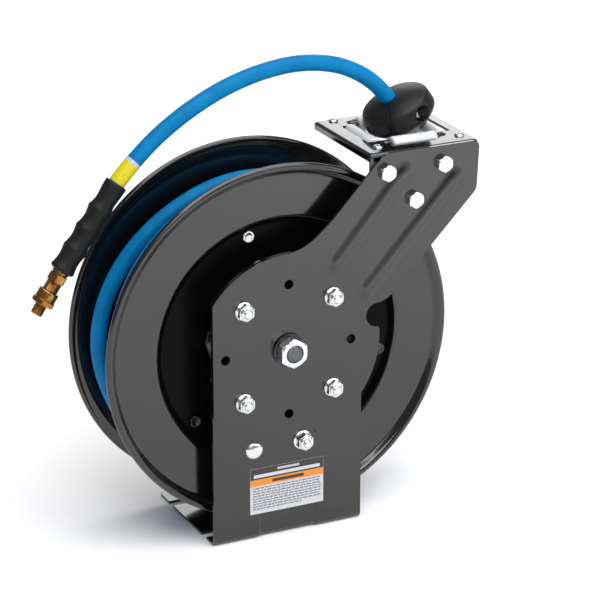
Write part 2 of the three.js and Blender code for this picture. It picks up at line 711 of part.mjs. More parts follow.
// ---------- hose outside the drum ----------
// Centre line in X and Z, in the drum's middle plane: up from the winding, between the rollers, through the
// stop, then over in one arch and down to the fitting.
const RUN = [
  [186, 48], [186, 84], [186, 112], [186.3, 140], [186, 168], [184.4, 192], [179.5, 210.5], [171.5, 223.5],
  [164, 233.7],
];
const FREE = [
  [159.2, 239.9], [142, 259.5], [122, 274.5], [98, 286], [72, 292.3], [44, 294.5], [15, 292], [-14, 286],
  [-44, 276], [-72, 263], [-99, 247.3], [-124, 229], [-146, 209], [-164, 189.9], [-183.2, 164],
  [-202.6, 137.8], [-216, 119.7], [-229.5, 101.5],
];
const inPlane = ([x, z]) => [x, 0, z];
const GRIP = { from: [-164.5, 189.3], to: [-229.5, 101.5] };
const FITTING_WAY = [-0.567, -0.824];

// A body of revolution on a sloping axis in the XZ plane; its profile is a closed list of [radius, distance].
function turnedAlong(origin, way, profile, sides = 16) {
  const geometry = new THREE.LatheGeometry(
    [...profile, profile[0]].map(([r, along]) => new THREE.Vector2(r, along)),
    sides,
  );
  const axis = new THREE.Vector3(way[0], 0, way[1]).normalize();
  geometry.applyQuaternion(new THREE.Quaternion().setFromUnitVectors(new THREE.Vector3(0, 1, 0), axis));
  return solid(geometry.translate(origin[0], 0, origin[1]));
}

const gripWay = [GRIP.to[0] - GRIP.from[0], GRIP.to[1] - GRIP.from[1]];

function hoseGrip() {
  const length = Math.hypot(...gripWay);
  const bore = HOSE_R + 0.5;
  const profile = [[bore, 0], [12, 0]];
  const rings = 4;
  const collar = 8;
  const pitch = (length - 2 * collar) / rings;
  profile.push([12.2, collar]);
  for (let i = 0; i < rings; i++) {
    const start = collar + i * pitch;
    profile.push([13.6, start + 2], [11.6, start + pitch * 0.5], [13.8, start + pitch - 1.5]);
  }
  profile.push([13, length], [bore, length]);
  return turnedAlong(GRIP.from, gripWay, profile);
}

// Brass end, by distance from the grip: a ring, a hexagon and a threaded neck, then the nipple's round body,
// its hexagon and its pipe thread.
const COLLAR = { hex: 19, start: 4, end: 13.5, neck: 24 };
const NIPPLE = { bodyR: 11.2, start: 24.4, hex: 24, hexStart: 34.5, hexEnd: 41, threadR: 6.8, tip: 53.5 };

function hexAlong(from, to, acrossFlats) {
  const axis = new THREE.Vector3(FITTING_WAY[0], 0, FITTING_WAY[1]).normalize();
  const at = (d) => [GRIP.to[0] + axis.x * d, 0, GRIP.to[1] + axis.z * d];
  return rod(at(from), at(to), hexRadius(acrossFlats), 6);
}

const fittingBore = () => turnedAlong(GRIP.to, FITTING_WAY, [[0, -1], [3.4, -1], [3.4, 60], [0, 60]], 12);

function hoseCollar() {
  const { hex, start, end, neck } = COLLAR;
  const stem = turnedAlong(GRIP.to, FITTING_WAY, [
    [0, 0.6], [9.6, 0.6], [9.6, 2.2], [8, 2.8], [8, start + 1], [8.6, start + 1], [8.6, neck], [0, neck],
  ]);
  return cut(stem.add(hexAlong(start, end, hex)), fittingBore());
}

function hoseNipple() {
  const { bodyR, start, hex, hexStart, hexEnd, threadR, tip } = NIPPLE;
  const body = turnedAlong(GRIP.to, FITTING_WAY, [
    [0, start], [bodyR - 0.8, start], [bodyR, start + 0.8], [bodyR, hexStart + 1], [threadR, hexStart + 1],
    [threadR, tip - 1], [threadR - 1, tip], [0, tip],
  ]);
  return cut(body.add(hexAlong(hexStart, hexEnd, hex)), fittingBore());
}

// ---------- hose stop ----------
// A blunt double cone in two halves, screwed together round the hose.
const STOP_PROFILE = [
  [0, 20], [14, 19.5], [26, 16.5], [35, 12.5], [38.5, 10], [41, -5], [39.5, -9], [36, -12.5], [24, -24],
  [20, -26], [0, -26],
];
const STOP_SCREWS = { y: 24, r: 2.9, headR: 5.2, from: -28, to: 22 };

function ballStop() {
  const lean = THREE.MathUtils.degToRad(BALL.lean);
  const turn = THREE.MathUtils.degToRad(BALL.turn);
  const place = (geometry) => solid(geometry.rotateZ(turn).rotateY(-lean).translate(BALL.x, 0, BALL.z));
  const lathe = new THREE.LatheGeometry(STOP_PROFILE.map(([r, h]) => new THREE.Vector2(r, h)), 24);
  const whole = place(lathe.rotateX(TILT));
  const bore = solid(tube([...RUN, ...FREE].slice(4, 13).map(inPlane), HOSE_R + PLAY, 18, 12));
  const across = (y, from, to, r, sides) => {
    const along = new THREE.CylinderGeometry(r, r, to - from, sides).rotateZ(-TILT);
    return place(along.translate((from + to) / 2, y, 0));
  };
  const { y, r, headR, from, to } = STOP_SCREWS;
  const half = (sign) => {
    const side = place(new THREE.BoxGeometry(100, 120, 120).translate(sign * (50 + PLAY), 0, 0));
    const pockets = [-y, y].flatMap((at) => [
      across(at, -60, 60, r + 0.4, 12),
      across(at, to - PLAY, 60, headR + 2, 6),
      across(at, -60, from + 5, headR + 2, 6),
    ]);
    return cut(whole.intersect(side), bore, ...pockets);
  };
  const screw = (at) => join(across(at, from, to + 1, r, 12), across(at, to, to + 6, headR, 6));
  add("stop_half_lower", shapeOf(half(-1)), "plastic");
  add("stop_half_upper", shapeOf(half(1)), "plastic");
  add("stop_screw_front", shapeOf(screw(-y)), "zinc");
  add("stop_screw_rear", shapeOf(screw(y)), "zinc");
}

// ---------- assembly ----------
add("stand", shapeOf(stand()), "black");
add("guide_arm", shapeOf(guideArm()), "black");
armFasteners();
add("data_label", shapeOf(box(-46, 43, POST_FRONT - 0.5, POST_FRONT, -189, -134.5)), "label");
add("main_shaft", shapeOf(mainShaft()), "steel");
add("shaft_washer", shapeOf(ring(SHAFT_R + PLAY, 19, ARM_FRONT - 2.5, ARM_FRONT, 32)), "zinc");
add("shaft_nut", shapeOf(shaftNut()), "zinc");
add("pawl", shapeOf(pawl()), "steel");
add("pawl_pivot_bolt", shapeOf(pawlPivotBolt()), "zinc");
add("pawl_nut", shapeOf(lockNut(PAWL_PIVOT.x, PAWL_PIVOT.z, POST_FRONT, 11, 17, 13, 4.3)), "zinc");
add("spring_anchor_bolt", shapeOf(springAnchorBolt()), "zinc");
add("pawl_spring", pawlSpring(), "steel");
add("guide_bracket", shapeOf(guideBracket()), "black");
add("roller_keeper", shapeOf(rollerKeeper()), "black");
bracketBolts();
rollers();
guideScrews();
ballStop();
add("hose_run", tube(RUN.map(inPlane), HOSE_R, 22), "hose");
add("hose_free", tube(FREE.map(inPlane), HOSE_R, 26), "hose");
add("hose_grip", shapeOf(hoseGrip()), "rubber");
add("hose_collar", shapeOf(hoseCollar()), "brass");
add("hose_nipple", shapeOf(hoseNipple()), "brass");
add("front_flange", shapeOf(cut(turned(flangeProfile(-1)), ...tieHoles(3.3))), "black");
add("rear_flange", shapeOf(rearFlange()), "black");
add("drum_core", shapeOf(drumCore()), "black");
tieBolts();
add("ratchet_wheel", shapeOf(ratchetWheel()), "steel");
add("hub_bush", shapeOf(hubBush()), "bronze");
add("spring_case", shapeOf(springCase()), "black");
add("main_spring", shapeOf(mainSpring()), "steel");
add("swivel_body", shapeOf(swivelBody()), "brass");
[18, 34.5].forEach((y, i) => {
  const seal = turned([[10.5, y], [11.6, y - 1.1], [12.7, y], [11.6, y + 1.1]], 20);
  add(`swivel_seal_${i + 1}`, shapeOf(seal), "rubber");
});
add("outlet_fitting", shapeOf(outletFitting()), "brass");
const lead = tube(LEAD.map(([x, z]) => [x, PORT_Y, z]), HOSE_R, 12, 10);
add("hose_lead", lead.rotateY(THREE.MathUtils.degToRad(-LEAD_TURN)), "hose");
hoseLayers();
add("retaining_ring", shapeOf(ring(9.3, 15, 44, 45.25, 24)), "steel");
add("inlet_elbow", shapeOf(inletElbow()), "brass");

const model = new THREE.Group();
model.add(reel);
export default model;
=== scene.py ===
"""Spring-rewind open hose reel: its looks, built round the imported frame.

Sizes are in millimetres. Heights are from the shaft's axis, as the drum and the arm are set out about it.
"""

import json
import math

import bmesh
import bpy
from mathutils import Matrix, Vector


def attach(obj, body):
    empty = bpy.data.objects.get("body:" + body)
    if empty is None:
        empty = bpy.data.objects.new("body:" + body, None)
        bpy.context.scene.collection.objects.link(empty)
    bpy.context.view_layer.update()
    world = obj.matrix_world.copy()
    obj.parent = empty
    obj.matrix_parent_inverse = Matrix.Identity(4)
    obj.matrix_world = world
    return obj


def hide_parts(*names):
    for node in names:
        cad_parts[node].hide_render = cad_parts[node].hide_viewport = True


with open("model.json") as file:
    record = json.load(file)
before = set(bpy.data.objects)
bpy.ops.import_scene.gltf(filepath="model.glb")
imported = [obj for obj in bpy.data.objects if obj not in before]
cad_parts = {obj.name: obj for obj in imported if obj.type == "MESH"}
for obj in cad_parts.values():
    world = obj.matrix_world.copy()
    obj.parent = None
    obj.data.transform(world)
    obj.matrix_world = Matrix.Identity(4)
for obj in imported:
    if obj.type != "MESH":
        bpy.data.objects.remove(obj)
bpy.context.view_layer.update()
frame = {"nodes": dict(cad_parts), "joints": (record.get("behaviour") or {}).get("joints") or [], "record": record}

# ---------- sizes ----------
MM = 0.001
SHAFT_HEIGHT = next(j["pos_m"][2] for j in frame["joints"] if j["name"] == "drum_spin") / MM
FLOOR = -SHAFT_HEIGHT
SHEET = 3
ARM_FRONT = -77.25
POST_FRONT = ARM_FRONT + SHEET
POST_BACK = POST_FRONT + SHEET
HALF_WIDTH = 89.5
FOOT_BACK = 75.75
BEND_R = 7
POST_TOP_R = 111
GROOVE = {"half": 34, "wall": 2.6, "depth": 1.75, "top": -150, "end": -44}
SLOT = {"y": 45.5, "half": 6.5, "depth": 34}

RIM_R = 204.2
RIM_Y = 54.2
FACE_Y = 51.25
DISH_Y = 43.25
DISH_EDGE = 142.5
FLANGE_SHEET = 1.5
CORE_R = 141.3
TIE_BOLTS = [(129, 105), (125, 218.5), (129, 346)]

ARM_DISC_R = 110
BOLT_CIRCLE = 75
BOLT_HOLE_R = 5.4
M10 = {"r": 5, "pitch": 1.5, "flats": 17, "bore": 5.15}
ARM_BOLT_ANGLES = [45, 135, 225, 315]
BRACKET_BOLTS = [(116.5, 185), (185.5, 186), (150.5, 150)]
NOTCHES = [(107, 23, 13.7), (19, -111, 16.5)]
RIBS = [((58.5, 90), (146, 190.5)), ((95.5, 54), (209, 176))]
RIB = {"half": 14, "height": 2.3, "fade": 14}

HOSE_R = 9
HOSE_BORE_R = 0.55 * HOSE_R
LEAD_TURN = 110
PORT_Y = 26

GUIDE = {"x": 167.5, "top": 206, "left": 98, "right": 231, "back": 65, "lip": 9}
ROLLER_R = 8.6
SIDE_OFFSET = 40.5
END_OFFSET = 41
SIDE_AXIS = 199.5
END_AXIS = 202.6
SIDE_LENGTH = 62
END_LENGTH = 54
JOURNAL_R = 4
JOURNAL_LENGTH = 6.5
POCKET = 1.5
SCREW_X = 50
SCREW_Y = 54

PAWL_PIVOT = (17.6, -110.2)
ANCHOR = (-40.3, -112.4)
BALL = {"x": 170, "z": 227, "lean": 26, "turn": -36}

RUN = [
    (186, 48), (186, 84), (186, 112), (186.3, 140), (186, 168), (184.4, 192), (179.5, 210.5), (171.5, 223.5),
    (164, 233.7),
]
FREE = [
    (159.2, 239.9), (142, 259.5), (122, 274.5), (98, 286), (72, 292.3), (44, 294.5), (15, 292), (-14, 286),
    (-44, 276), (-72, 263), (-99, 247.3), (-124, 229), (-146, 209), (-164, 189.9), (-183.2, 164),
    (-202.6, 137.8), (-216, 119.7), (-229.5, 101.5),
]
GRIP_START = (-164.5, 0, 189.3)
GRIP_END = (-229.5, 0, 101.5)
FITTING_WAY = (-0.567, 0, -0.824)

# Angle, radius and place across the drum of the wound hose's centre line, from the barrel out.
WINDING = [
    (150, 143, 26), (165, 150.6, 27.5), (230, 150.6, 31), (300, 150.6, 33), (360, 150.6, 29),
    (430, 150.6, 19.5), (501, 150.6, 7), (861, 150.6, -11.4), (1221, 150.6, -29.8), (1340, 150.6, -36.3),
    (1400, 154, -37), (1450, 164, -36.4), (1500, 168.6, -35), (1580, 168.6, -32.5), (1760, 169, -24),
    (1900, 171.5, -16.5), (1950, 173.5, -13.8), (2040, 171, -9.5), (2160, 168.6, -2), (2205, 167.5, 12),
    (2255, 166, 24), (2285, 167, 25), (2335, 180, 25), (2360, 178, 23), (2410, 175, 16), (2450, 177, 8),
    (2490, 183, 2), (2520, 186.2, 0), (2540, 183, -1.2), (2565, 174, -2.6), (2585, 169, -3),
]

SHAFT_R = 10
SHAFT_LINE = ((0, 0, 0), (0, 1, 0))
RATCHET = {"teeth": 10, "root": 79, "tip": 88}
LABEL = {"left": -46, "right": 43, "low": -189, "high": -134.5}

TURN = 2 * math.pi


def at(x, y, z):
    """A point of the frame, in metres."""
    return Vector((x, y, z + SHAFT_HEIGHT)) * MM


def polar(r, degrees):
    turn = math.radians(degrees)
    return r * math.cos(turn), r * math.sin(turn)


def smooth(t):
    t = min(1, max(0, t))
    return t * t * (3 - 2 * t)


# ---------- meshes ----------
WELD = 2e-6


class Solid:
    """Points and faces of one piece, in millimetres."""

    def __init__(self):
        self.points = []
        self.faces = []

    def loft(self, rows, capped=True):
        """A skin over rings that all have as many points."""
        first, n = len(self.points), len(rows[0])
        for row in rows:
            self.points.extend(tuple(p) for p in row)
        for i in range(len(rows) - 1):
            a = first + i * n
            for j in range(n):
                k = (j + 1) % n
                self.faces.append((a + j, a + k, a + n + k, a + n + j))
        if capped:
            last = first + (len(rows) - 1) * n
            self.faces.append(tuple(range(first, first + n)))
            self.faces.append(tuple(reversed(range(last, last + n))))
        return self


def mesh_of(solid, name, sharp=30):
    mesh = bpy.data.meshes.new(name)
    mesh.from_pydata([at(*p) for p in solid.points], [], solid.faces)
    bm = bmesh.new()
    bm.from_mesh(mesh)
    bmesh.ops.remove_doubles(bm, verts=bm.verts, dist=WELD)
    bmesh.ops.dissolve_degenerate(bm, dist=WELD, edges=bm.edges)
    bmesh.ops.recalc_face_normals(bm, faces=bm.faces)
    bm.to_mesh(mesh)
    bm.free()
    mesh.shade_smooth()
    mesh.set_sharp_from_angle(angle=math.radians(sharp))
    return mesh


def paint(piece, material):
    piece.data.materials.clear()
    piece.data.materials.append(material)


def show(mesh, name, body, finish, nodes=()):
    """A piece of the object, which stands for the CAD nodes named."""
    piece = bpy.data.objects.new(name, mesh)
    bpy.context.scene.collection.objects.link(piece)
    paint(piece, FINISH[finish])
    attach(piece, body)
    if nodes:
        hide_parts(*nodes)
    return piece


def make(solid, name, body, finish, nodes=(), sharp=30):
    return show(mesh_of(solid, name, sharp), name, body, finish, nodes)


def carve(solid, name, body, finish, nodes=(), cutters=(), round_edges=0.0, sharp=30, steps=2):
    """A piece made of the solid, with the cutters taken from it and its sharp edges rounded."""
    piece = bpy.data.objects.new(name, mesh_of(solid, name, sharp))
    bpy.context.scene.collection.objects.link(piece)
    tools = []
    for cutter in cutters:
        tool = bpy.data.objects.new("cutter", mesh_of(cutter, "cutter"))
        bpy.context.scene.collection.objects.link(tool)
        tools.append(tool)
        cut = piece.modifiers.new("cut", "BOOLEAN")
        cut.operation = "DIFFERENCE"
        cut.solver = "EXACT"
        cut.object = tool
    if round_edges:
        bevel = piece.modifiers.new("edge", "BEVEL")
        bevel.width = round_edges * MM
        bevel.segments = steps
        bevel.limit_method = "ANGLE"
        bevel.angle_limit = math.radians(sharp)
        bevel.harden_normals = True
    bpy.context.view_layer.update()
    graph = bpy.context.evaluated_depsgraph_get()
    made = bpy.data.meshes.new_from_object(piece.evaluated_get(graph))
    made.name = name
    for thing in [piece, *tools]:
        bpy.data.objects.remove(thing)
    return show(made, name, body, finish, nodes)


def rounded(points, radius=0.4, steps=3, closed=False):
    """An outline with its corners rounded. A point's third number is its own radius."""
    n = len(points)
    out = []
    for i, corner in enumerate(points):
        if not closed and i in (0, n - 1):
            out.append(Vector(corner[:2]))
            continue
        b = Vector(corner[:2])
        u = Vector(points[i - 1][:2]) - b
        v = Vector(points[(i + 1) % n][:2]) - b
        r = corner[2] if len(corner) > 2 else radius
        reach = min(r, 0.45 * u.length, 0.45 * v.length)
        p = b + u.normalized() * reach
        q = b + v.normalized() * reach
        for k in range(steps + 1):
            t = k / steps
            out.append(p * (1 - t) ** 2 + b * 2 * t * (1 - t) + q * t * t)
    return [tuple(p) for p in out]


def basis(way):
    along = Vector(way).normalized()
    if abs(along.y) > 0.99:
        side = Vector((1, 0, 0))
    elif abs(along.y) < 0.01:
        side = Vector((0, 1, 0))
    else:
        side = along.orthogonal().normalized()
    return along, side, along.cross(side)


def spun(profile, origin, way, sides=64, radius=None, closed=False):
    """Rings of a body of revolution. Its profile is a list of (radius, distance along way)."""
    along, side, up = basis(way)
    rows = []
    for r, h in profile:
        centre = Vector(origin) + along * h
        row = []
        for i in range(sides):
            t = TURN * i / sides
            reach = radius(r, h, t) if radius else r
            row.append(centre + (side * math.cos(t) + up * math.sin(t)) * reach)
        rows.append(row)
    if closed:
        rows.append(rows[0])
    return rows


def turned(profile, origin, way, sides=64, closed=False, corner=0.4, steps=3, into=None):
    """A body of revolution, the corners of its profile rounded, by itself or added to a solid."""
    rows = spun(rounded(profile, corner, steps, closed), origin, way, sides, closed=closed)
    return (into or Solid()).loft(rows, capped=False)


def hexagon(across_flats, t, trim=0.985):
    """Radius of a hexagon at an angle, with its corners broken."""
    flat = across_flats / 2
    off = (t % (TURN / 6)) - TURN / 12
    return min(flat / math.cos(TURN / 12 - abs(off)), trim * flat / math.cos(TURN / 12))


def hex_body(solid, origin, way, across_flats, height, top=True, bottom=False, bore=0.0, start=0.0):
    """A hexagon with the usual chamfer on its corners at the top, the bottom or both."""
    flat = across_flats / 2
    corner = flat / math.cos(TURN / 12)
    face = 0.94 * flat
    steps = 7
    drops = [(corner - face) * k / steps for k in range(steps + 1)]
    slope = [(face + drop, drop * 0.55) for drop in drops]
    low = [(r, start + h) for r, h in slope] if bottom else [(corner, start)]
    high = [(r, start + height - h) for r, h in reversed(slope)] if top else [(corner, start + height)]
    profile = [(bore, start), *low, *high, (bore, start + height)]

    def radius(r, h, t):
        return min(r, hexagon(across_flats, t))

    rows = spun(profile, origin, way, 96, radius, closed=bore > 0)
    return solid.loft(rows, capped=False)


def threaded(solid, origin, way, r, pitch, start, end, depth=0.0, chamfer=1.0, sides=40):
    """A threaded rod with a chamfered end."""
    depth = depth or 0.55 * pitch
    steps = max(8, round((end - start) / pitch * 8))
    rows = [(0, start)] + [(1, start + (end - start) * i / steps) for i in range(steps + 1)] + [(0, end)]

    def radius(on, h, t):
        if not on:
            return 0
        phase = (h / pitch - t / TURN) % 1
        groove = depth * abs(2 * phase - 1)
        return min(r - groove, r - chamfer + (end - h))

    return solid.loft(spun(rows, origin, way, sides, radius), capped=False)


def pipe_thread(solid, origin, way, r, bore, ends, lip, crests, cone, steps, sides):
    """A hollow pipe thread of radius r between the crests, with its end coned down to the lip."""
    pitch, depth = 1.4, 0.7
    foot, end = ends
    first, last = crests
    profile = [(bore, foot), (bore, end), (lip, end)]
    profile += [(r, first + (last - first) * i / steps) for i in range(steps + 1)]

    def radius(reach, h, t):
        if reach != r:
            return reach
        phase = (h / pitch - t / TURN) % 1
        return min(r - depth * abs(2 * phase - 1), cone - h)

    return solid.loft(spun(profile, origin, way, sides, radius, closed=True), capped=False)


def route(points, step=3.0):
    """Points at even steps along a centripetal Catmull-Rom curve through the given ones."""
    points = [Vector(p) for p in points]
    points = [points[0] * 2 - points[1], *points, points[-1] * 2 - points[-2]]
    fine = []
    for p0, p1, p2, p3 in zip(points, points[1:], points[2:], points[3:]):
        t1 = (p1 - p0).length ** 0.5
        t2 = t1 + (p2 - p1).length ** 0.5
        t3 = t2 + (p3 - p2).length ** 0.5
        count = max(2, math.ceil((p2 - p1).length))
        for i in range(count):
            t = t1 + (t2 - t1) * i / count
            a1 = p0 * ((t1 - t) / t1) + p1 * (t / t1)
            a2 = p1 * ((t2 - t) / (t2 - t1)) + p2 * ((t - t1) / (t2 - t1))
            a3 = p2 * ((t3 - t) / (t3 - t2)) + p3 * ((t - t2) / (t3 - t2))
            b1 = a1 * ((t2 - t) / t2) + a2 * (t / t2)
            b2 = a2 * ((t3 - t) / (t3 - t1)) + a3 * ((t - t1) / (t3 - t1))
            fine.append(b1 * ((t2 - t) / (t2 - t1)) + b2 * ((t - t1) / (t2 - t1)))
    fine.append(points[-2])
    out, walked, due = [fine[0]], 0.0, step
    for a, b in zip(fine, fine[1:]):
        walked += (b - a).length
        if walked >= due:
            out.append(b)
            due += step
    if (out[-1] - fine[-1]).length > 0.3 * step:
        out.append(fine[-1])
    else:
        out[-1] = fine[-1]
    return out


def swept(path, radius, sides=24):
    """Rings round a path, turned as little as possible from one to the next."""
    rows, side = [], None
    for i, p in enumerate(path):
        ahead = (path[min(i + 1, len(path) - 1)] - path[max(i - 1, 0)]).normalized()
        side = ahead.orthogonal() if side is None else side - ahead * side.dot(ahead)
        side.normalize()
        up = ahead.cross(side)
        r = radius(i) if callable(radius) else radius
        turns = [TURN * k / sides for k in range(sides)]
        rows.append([p + (side * math.cos(t) + up * math.sin(t)) * r for t in turns])
    return rows


def prism(outline, low, high, place):
    """An outline made thick: place(u, v, w) puts its points, with w from low to high."""
    rows = [[place(u, v, w) for u, v in outline] for w in (low, high)]
    return Solid().loft(rows)


def in_xz(u, v, w):
    return u, w, v


def in_xy(u, v, w):
    return u, v, w


def block(x0, x1, y0, y1, z0, z1):
    return prism([(x0, y0), (x1, y0), (x1, y1), (x0, y1)], z0, z1, in_xy)


def arc(cx, cz, r, start, end, step=4.0):
    count = max(2, math.ceil(abs(end - start) / step))
    return [
        (cx + r * math.cos(math.radians(start + (end - start) * i / count)),
         cz + r * math.sin(math.radians(start + (end - start) * i / count)))
        for i in range(count + 1)
    ]


def bezier(*controls, count=12):
    """Points on a Bezier curve, without its first."""
    out = []
    for i in range(1, count + 1):
        t = i / count
        row = [Vector(c) for c in controls]
        while len(row) > 1:
            row = [a * (1 - t) + b * t for a, b in zip(row, row[1:])]
        out.append(tuple(row[0]))
    return out


# ---------- materials ----------
def colour(r, g, b):
    """A colour of the screen as the linear one that a shader takes."""
    return tuple(((c / 255 + 0.055) / 1.055) ** 2.4 if c > 10 else c / 3294.6 for c in (r, g, b)) + (1,)


class Finish:
    """A material with its shader, and short ways to wire the usual surface detail."""

    def __init__(self, name, base, roughness, metallic=0.0, coat=0.0):
        self.material = bpy.data.materials.new(name)
        self.material.use_nodes = True
        self.tree = self.material.node_tree
        self.shader = self.tree.nodes["Principled BSDF"]
        self.shader.inputs["Base Color"].default_value = base
        self.shader.inputs["Roughness"].default_value = roughness
        self.shader.inputs["Metallic"].default_value = metallic
        if coat:
            self.shader.inputs["Coat Weight"].default_value = coat
            self.shader.inputs["Coat Roughness"].default_value = 0.05
        self.place = self.tree.nodes.new("ShaderNodeTexCoord").outputs["Object"]
        self.normal = None

    def join(self, a, b):
        self.tree.links.new(a, b)

    def noise(self, scale, detail=4.0, rough=0.55, stretch=None):
        """Noise in the piece's own space; scale is in cells a metre."""
        node = self.tree.nodes.new("ShaderNodeTexNoise")
        node.inputs["Scale"].default_value = scale
        node.inputs["Detail"].default_value = detail
        node.inputs["Roughness"].default_value = rough
        source = self.place
        if stretch:
            mapping = self.tree.nodes.new("ShaderNodeMapping")
            mapping.inputs["Scale"].default_value = stretch
            self.join(source, mapping.inputs["Vector"])
            source = mapping.outputs["Vector"]
        self.join(source, node.inputs["Vector"])
        return node.outputs["Fac"]

    def roughen(self, source, low, high):
        node = self.tree.nodes.new("ShaderNodeMapRange")
        node.inputs["From Min"].default_value = 0.3
        node.inputs["From Max"].default_value = 0.7
        node.inputs["To Min"].default_value = low
        node.inputs["To Max"].default_value = high
        self.join(source, node.inputs["Value"])
        self.join(node.outputs["Result"], self.shader.inputs["Roughness"])

    def bump(self, source, depth):
        """A bump; depth is in millimetres. Several are added up."""
        node = self.tree.nodes.new("ShaderNodeBump")
        node.inputs["Strength"].default_value = 1
        node.inputs["Distance"].default_value = depth * MM
        self.join(source, node.inputs["Height"])
        if self.normal:
            self.join(self.normal, node.inputs["Normal"])
        self.normal = node.outputs["Normal"]
        self.join(self.normal, self.shader.inputs["Normal"])

    def tint(self, stops, source):
        """Base colours that run into each other, by the places of the stops along the source."""
        node = self.tree.nodes.new("ShaderNodeValToRGB")
        while len(node.color_ramp.elements) < len(stops):
            node.color_ramp.elements.new(0.5)
        for element, (position, value) in zip(node.color_ramp.elements, stops):
            element.position = position
            element.color = value
        self.join(source, node.inputs["Fac"])
        self.join(node.outputs["Color"], self.shader.inputs["Base Color"])


def black_powder_coat():
    """Glossy black: a faint orange peel, and dust-fine changes of gloss."""
    f = Finish("black", colour(10, 10, 11), 0.16, coat=0.55)
    f.roughen(f.noise(90, 3), 0.12, 0.2)
    f.bump(f.noise(420, 2, 0.4), 0.012)
    f.tint([(0.3, colour(9, 9, 10)), (0.7, colour(13, 12, 13))], f.noise(25, 5))
    return f.material


def dish_painted_shade():
    """The flanges' black paint down in the dish, darker and with weaker reflection: painted shade."""
    f = Finish("black_dish_painted_shade", colour(6, 6, 7), 0.3)
    f.roughen(f.noise(90, 3), 0.26, 0.36)
    f.shader.inputs["Specular IOR Level"].default_value = 0.06
    return f.material


def zinc_plate():
    """Bright zinc: light brushing, and a slight blue and yellow tint in patches."""
    f = Finish("zinc", colour(214, 217, 220), 0.2, 1.0)
    f.roughen(f.noise(600, 4), 0.14, 0.3)
    f.tint([(0.35, colour(205, 210, 216)), (0.65, colour(226, 226, 222))], f.noise(160, 3))
    f.bump(f.noise(2200, 2, stretch=(1, 6, 1)), 0.006)
    return f.material


def zinc_with_painted_shade():
    """Zinc darkened as painted shade, on the washer round the shaft and on two of the tie bolts."""
    f = Finish("zinc_painted_shade", colour(62, 63, 66), 0.3, 1.0)
    f.roughen(f.noise(600, 4), 0.26, 0.4)
    f.tint([(0.35, colour(50, 51, 54)), (0.65, colour(74, 75, 78))], f.noise(160, 3))
    return f.material


def machined_steel():
    f = Finish("steel", colour(96, 97, 100), 0.32, 1.0)
    f.roughen(f.noise(500, 4), 0.26, 0.42)
    f.tint([(0.3, colour(84, 85, 88)), (0.7, colour(108, 109, 112))], f.noise(90, 5))
    f.bump(f.noise(1500, 2, stretch=(1, 8, 1)), 0.008)
    return f.material


def machined_brass():
    """Brass with turning marks, and a browner tarnish in patches."""
    f = Finish("brass", colour(160, 114, 60), 0.24, 1.0)
    f.roughen(f.noise(500, 4), 0.18, 0.36)
    tarnish = [(0.3, colour(134, 88, 42)), (0.6, colour(168, 124, 70)), (0.8, colour(190, 150, 96))]
    f.tint(tarnish, f.noise(110, 5))
    f.bump(f.noise(1800, 2), 0.006)
    return f.material


def sintered_bronze():
    f = Finish("bronze", colour(150, 108, 66), 0.42, 1.0)
    f.roughen(f.noise(900, 4), 0.36, 0.5)
    f.bump(f.noise(2600, 2), 0.02)
    f.tint([(0.3, colour(132, 92, 54)), (0.7, colour(166, 122, 78))], f.noise(150, 5))
    return f.material


def hose_cover():
    """Blue rubber hose: a satin skin with a fine grain."""
    f = Finish("hose", colour(0, 110, 166), 0.42)
    f.roughen(f.noise(220, 4), 0.36, 0.52)
    f.tint([(0.3, colour(0, 104, 158)), (0.7, colour(0, 119, 176))], f.noise(40, 4))
    f.bump(f.noise(900, 3), 0.03)
    f.shader.inputs["Specular IOR Level"].default_value = 0.1
    return f.material


def moulded_rubber():
    """Matte black rubber with a fine grain, a little dusty."""
    f = Finish("rubber", colour(16, 16, 17), 0.55)
    f.roughen(f.noise(260, 5), 0.46, 0.62)
    f.tint([(0.3, colour(12, 12, 13)), (0.7, colour(20, 20, 22))], f.noise(70, 6))
    f.bump(f.noise(1300, 3), 0.05)
    f.shader.inputs["Specular IOR Level"].default_value = 0.25
    return f.material


def moulded_plastic():
    """Black moulded plastic with a satin spark texture."""
    f = Finish("plastic", colour(13, 13, 14), 0.42)
    f.roughen(f.noise(300, 5), 0.34, 0.48)
    f.tint([(0.3, colour(11, 11, 12)), (0.7, colour(17, 17, 18))], f.noise(60, 5))
    f.bump(f.noise(1600, 3), 0.03)
    f.shader.inputs["Specular IOR Level"].default_value = 0.3
    return f.material


def roller_plastic():
    """Pale acetal with faint turning rings and hose scuffs."""
    f = Finish("roller", colour(206, 208, 211), 0.3)
    f.roughen(f.noise(240, 5), 0.24, 0.42)
    scuffs = [(0.3, colour(196, 198, 202)), (0.62, colour(216, 218, 220)), (0.8, colour(188, 194, 204))]
    f.tint(scuffs, f.noise(80, 6))
    f.bump(f.noise(1500, 2), 0.01)
    return f.material


def printed_film(name, shade, roughness=0.38):
    """Printed vinyl film, with the slight mottle of ink on it."""
    f = Finish(name, colour(*shade), roughness)
    light = tuple(min(255, c + 5) for c in shade)
    dark = tuple(max(0, c - 6) for c in shade)
    f.tint([(0.3, colour(*dark)), (0.7, colour(*light))], f.noise(900, 4))
    f.roughen(f.noise(400, 3), roughness - 0.05, roughness + 0.06)
    f.bump(f.noise(1800, 2), 0.004)
    return f.material


FINISH = {
    "black": black_powder_coat(),
    "zinc": zinc_plate(),
    "steel": machined_steel(),
    "brass": machined_brass(),
    "bronze": sintered_bronze(),
    "hose": hose_cover(),
    "rubber": moulded_rubber(),
    "plastic": moulded_plastic(),
    "roller": roller_plastic(),
    "label": printed_film("label", (194, 196, 200)),
}
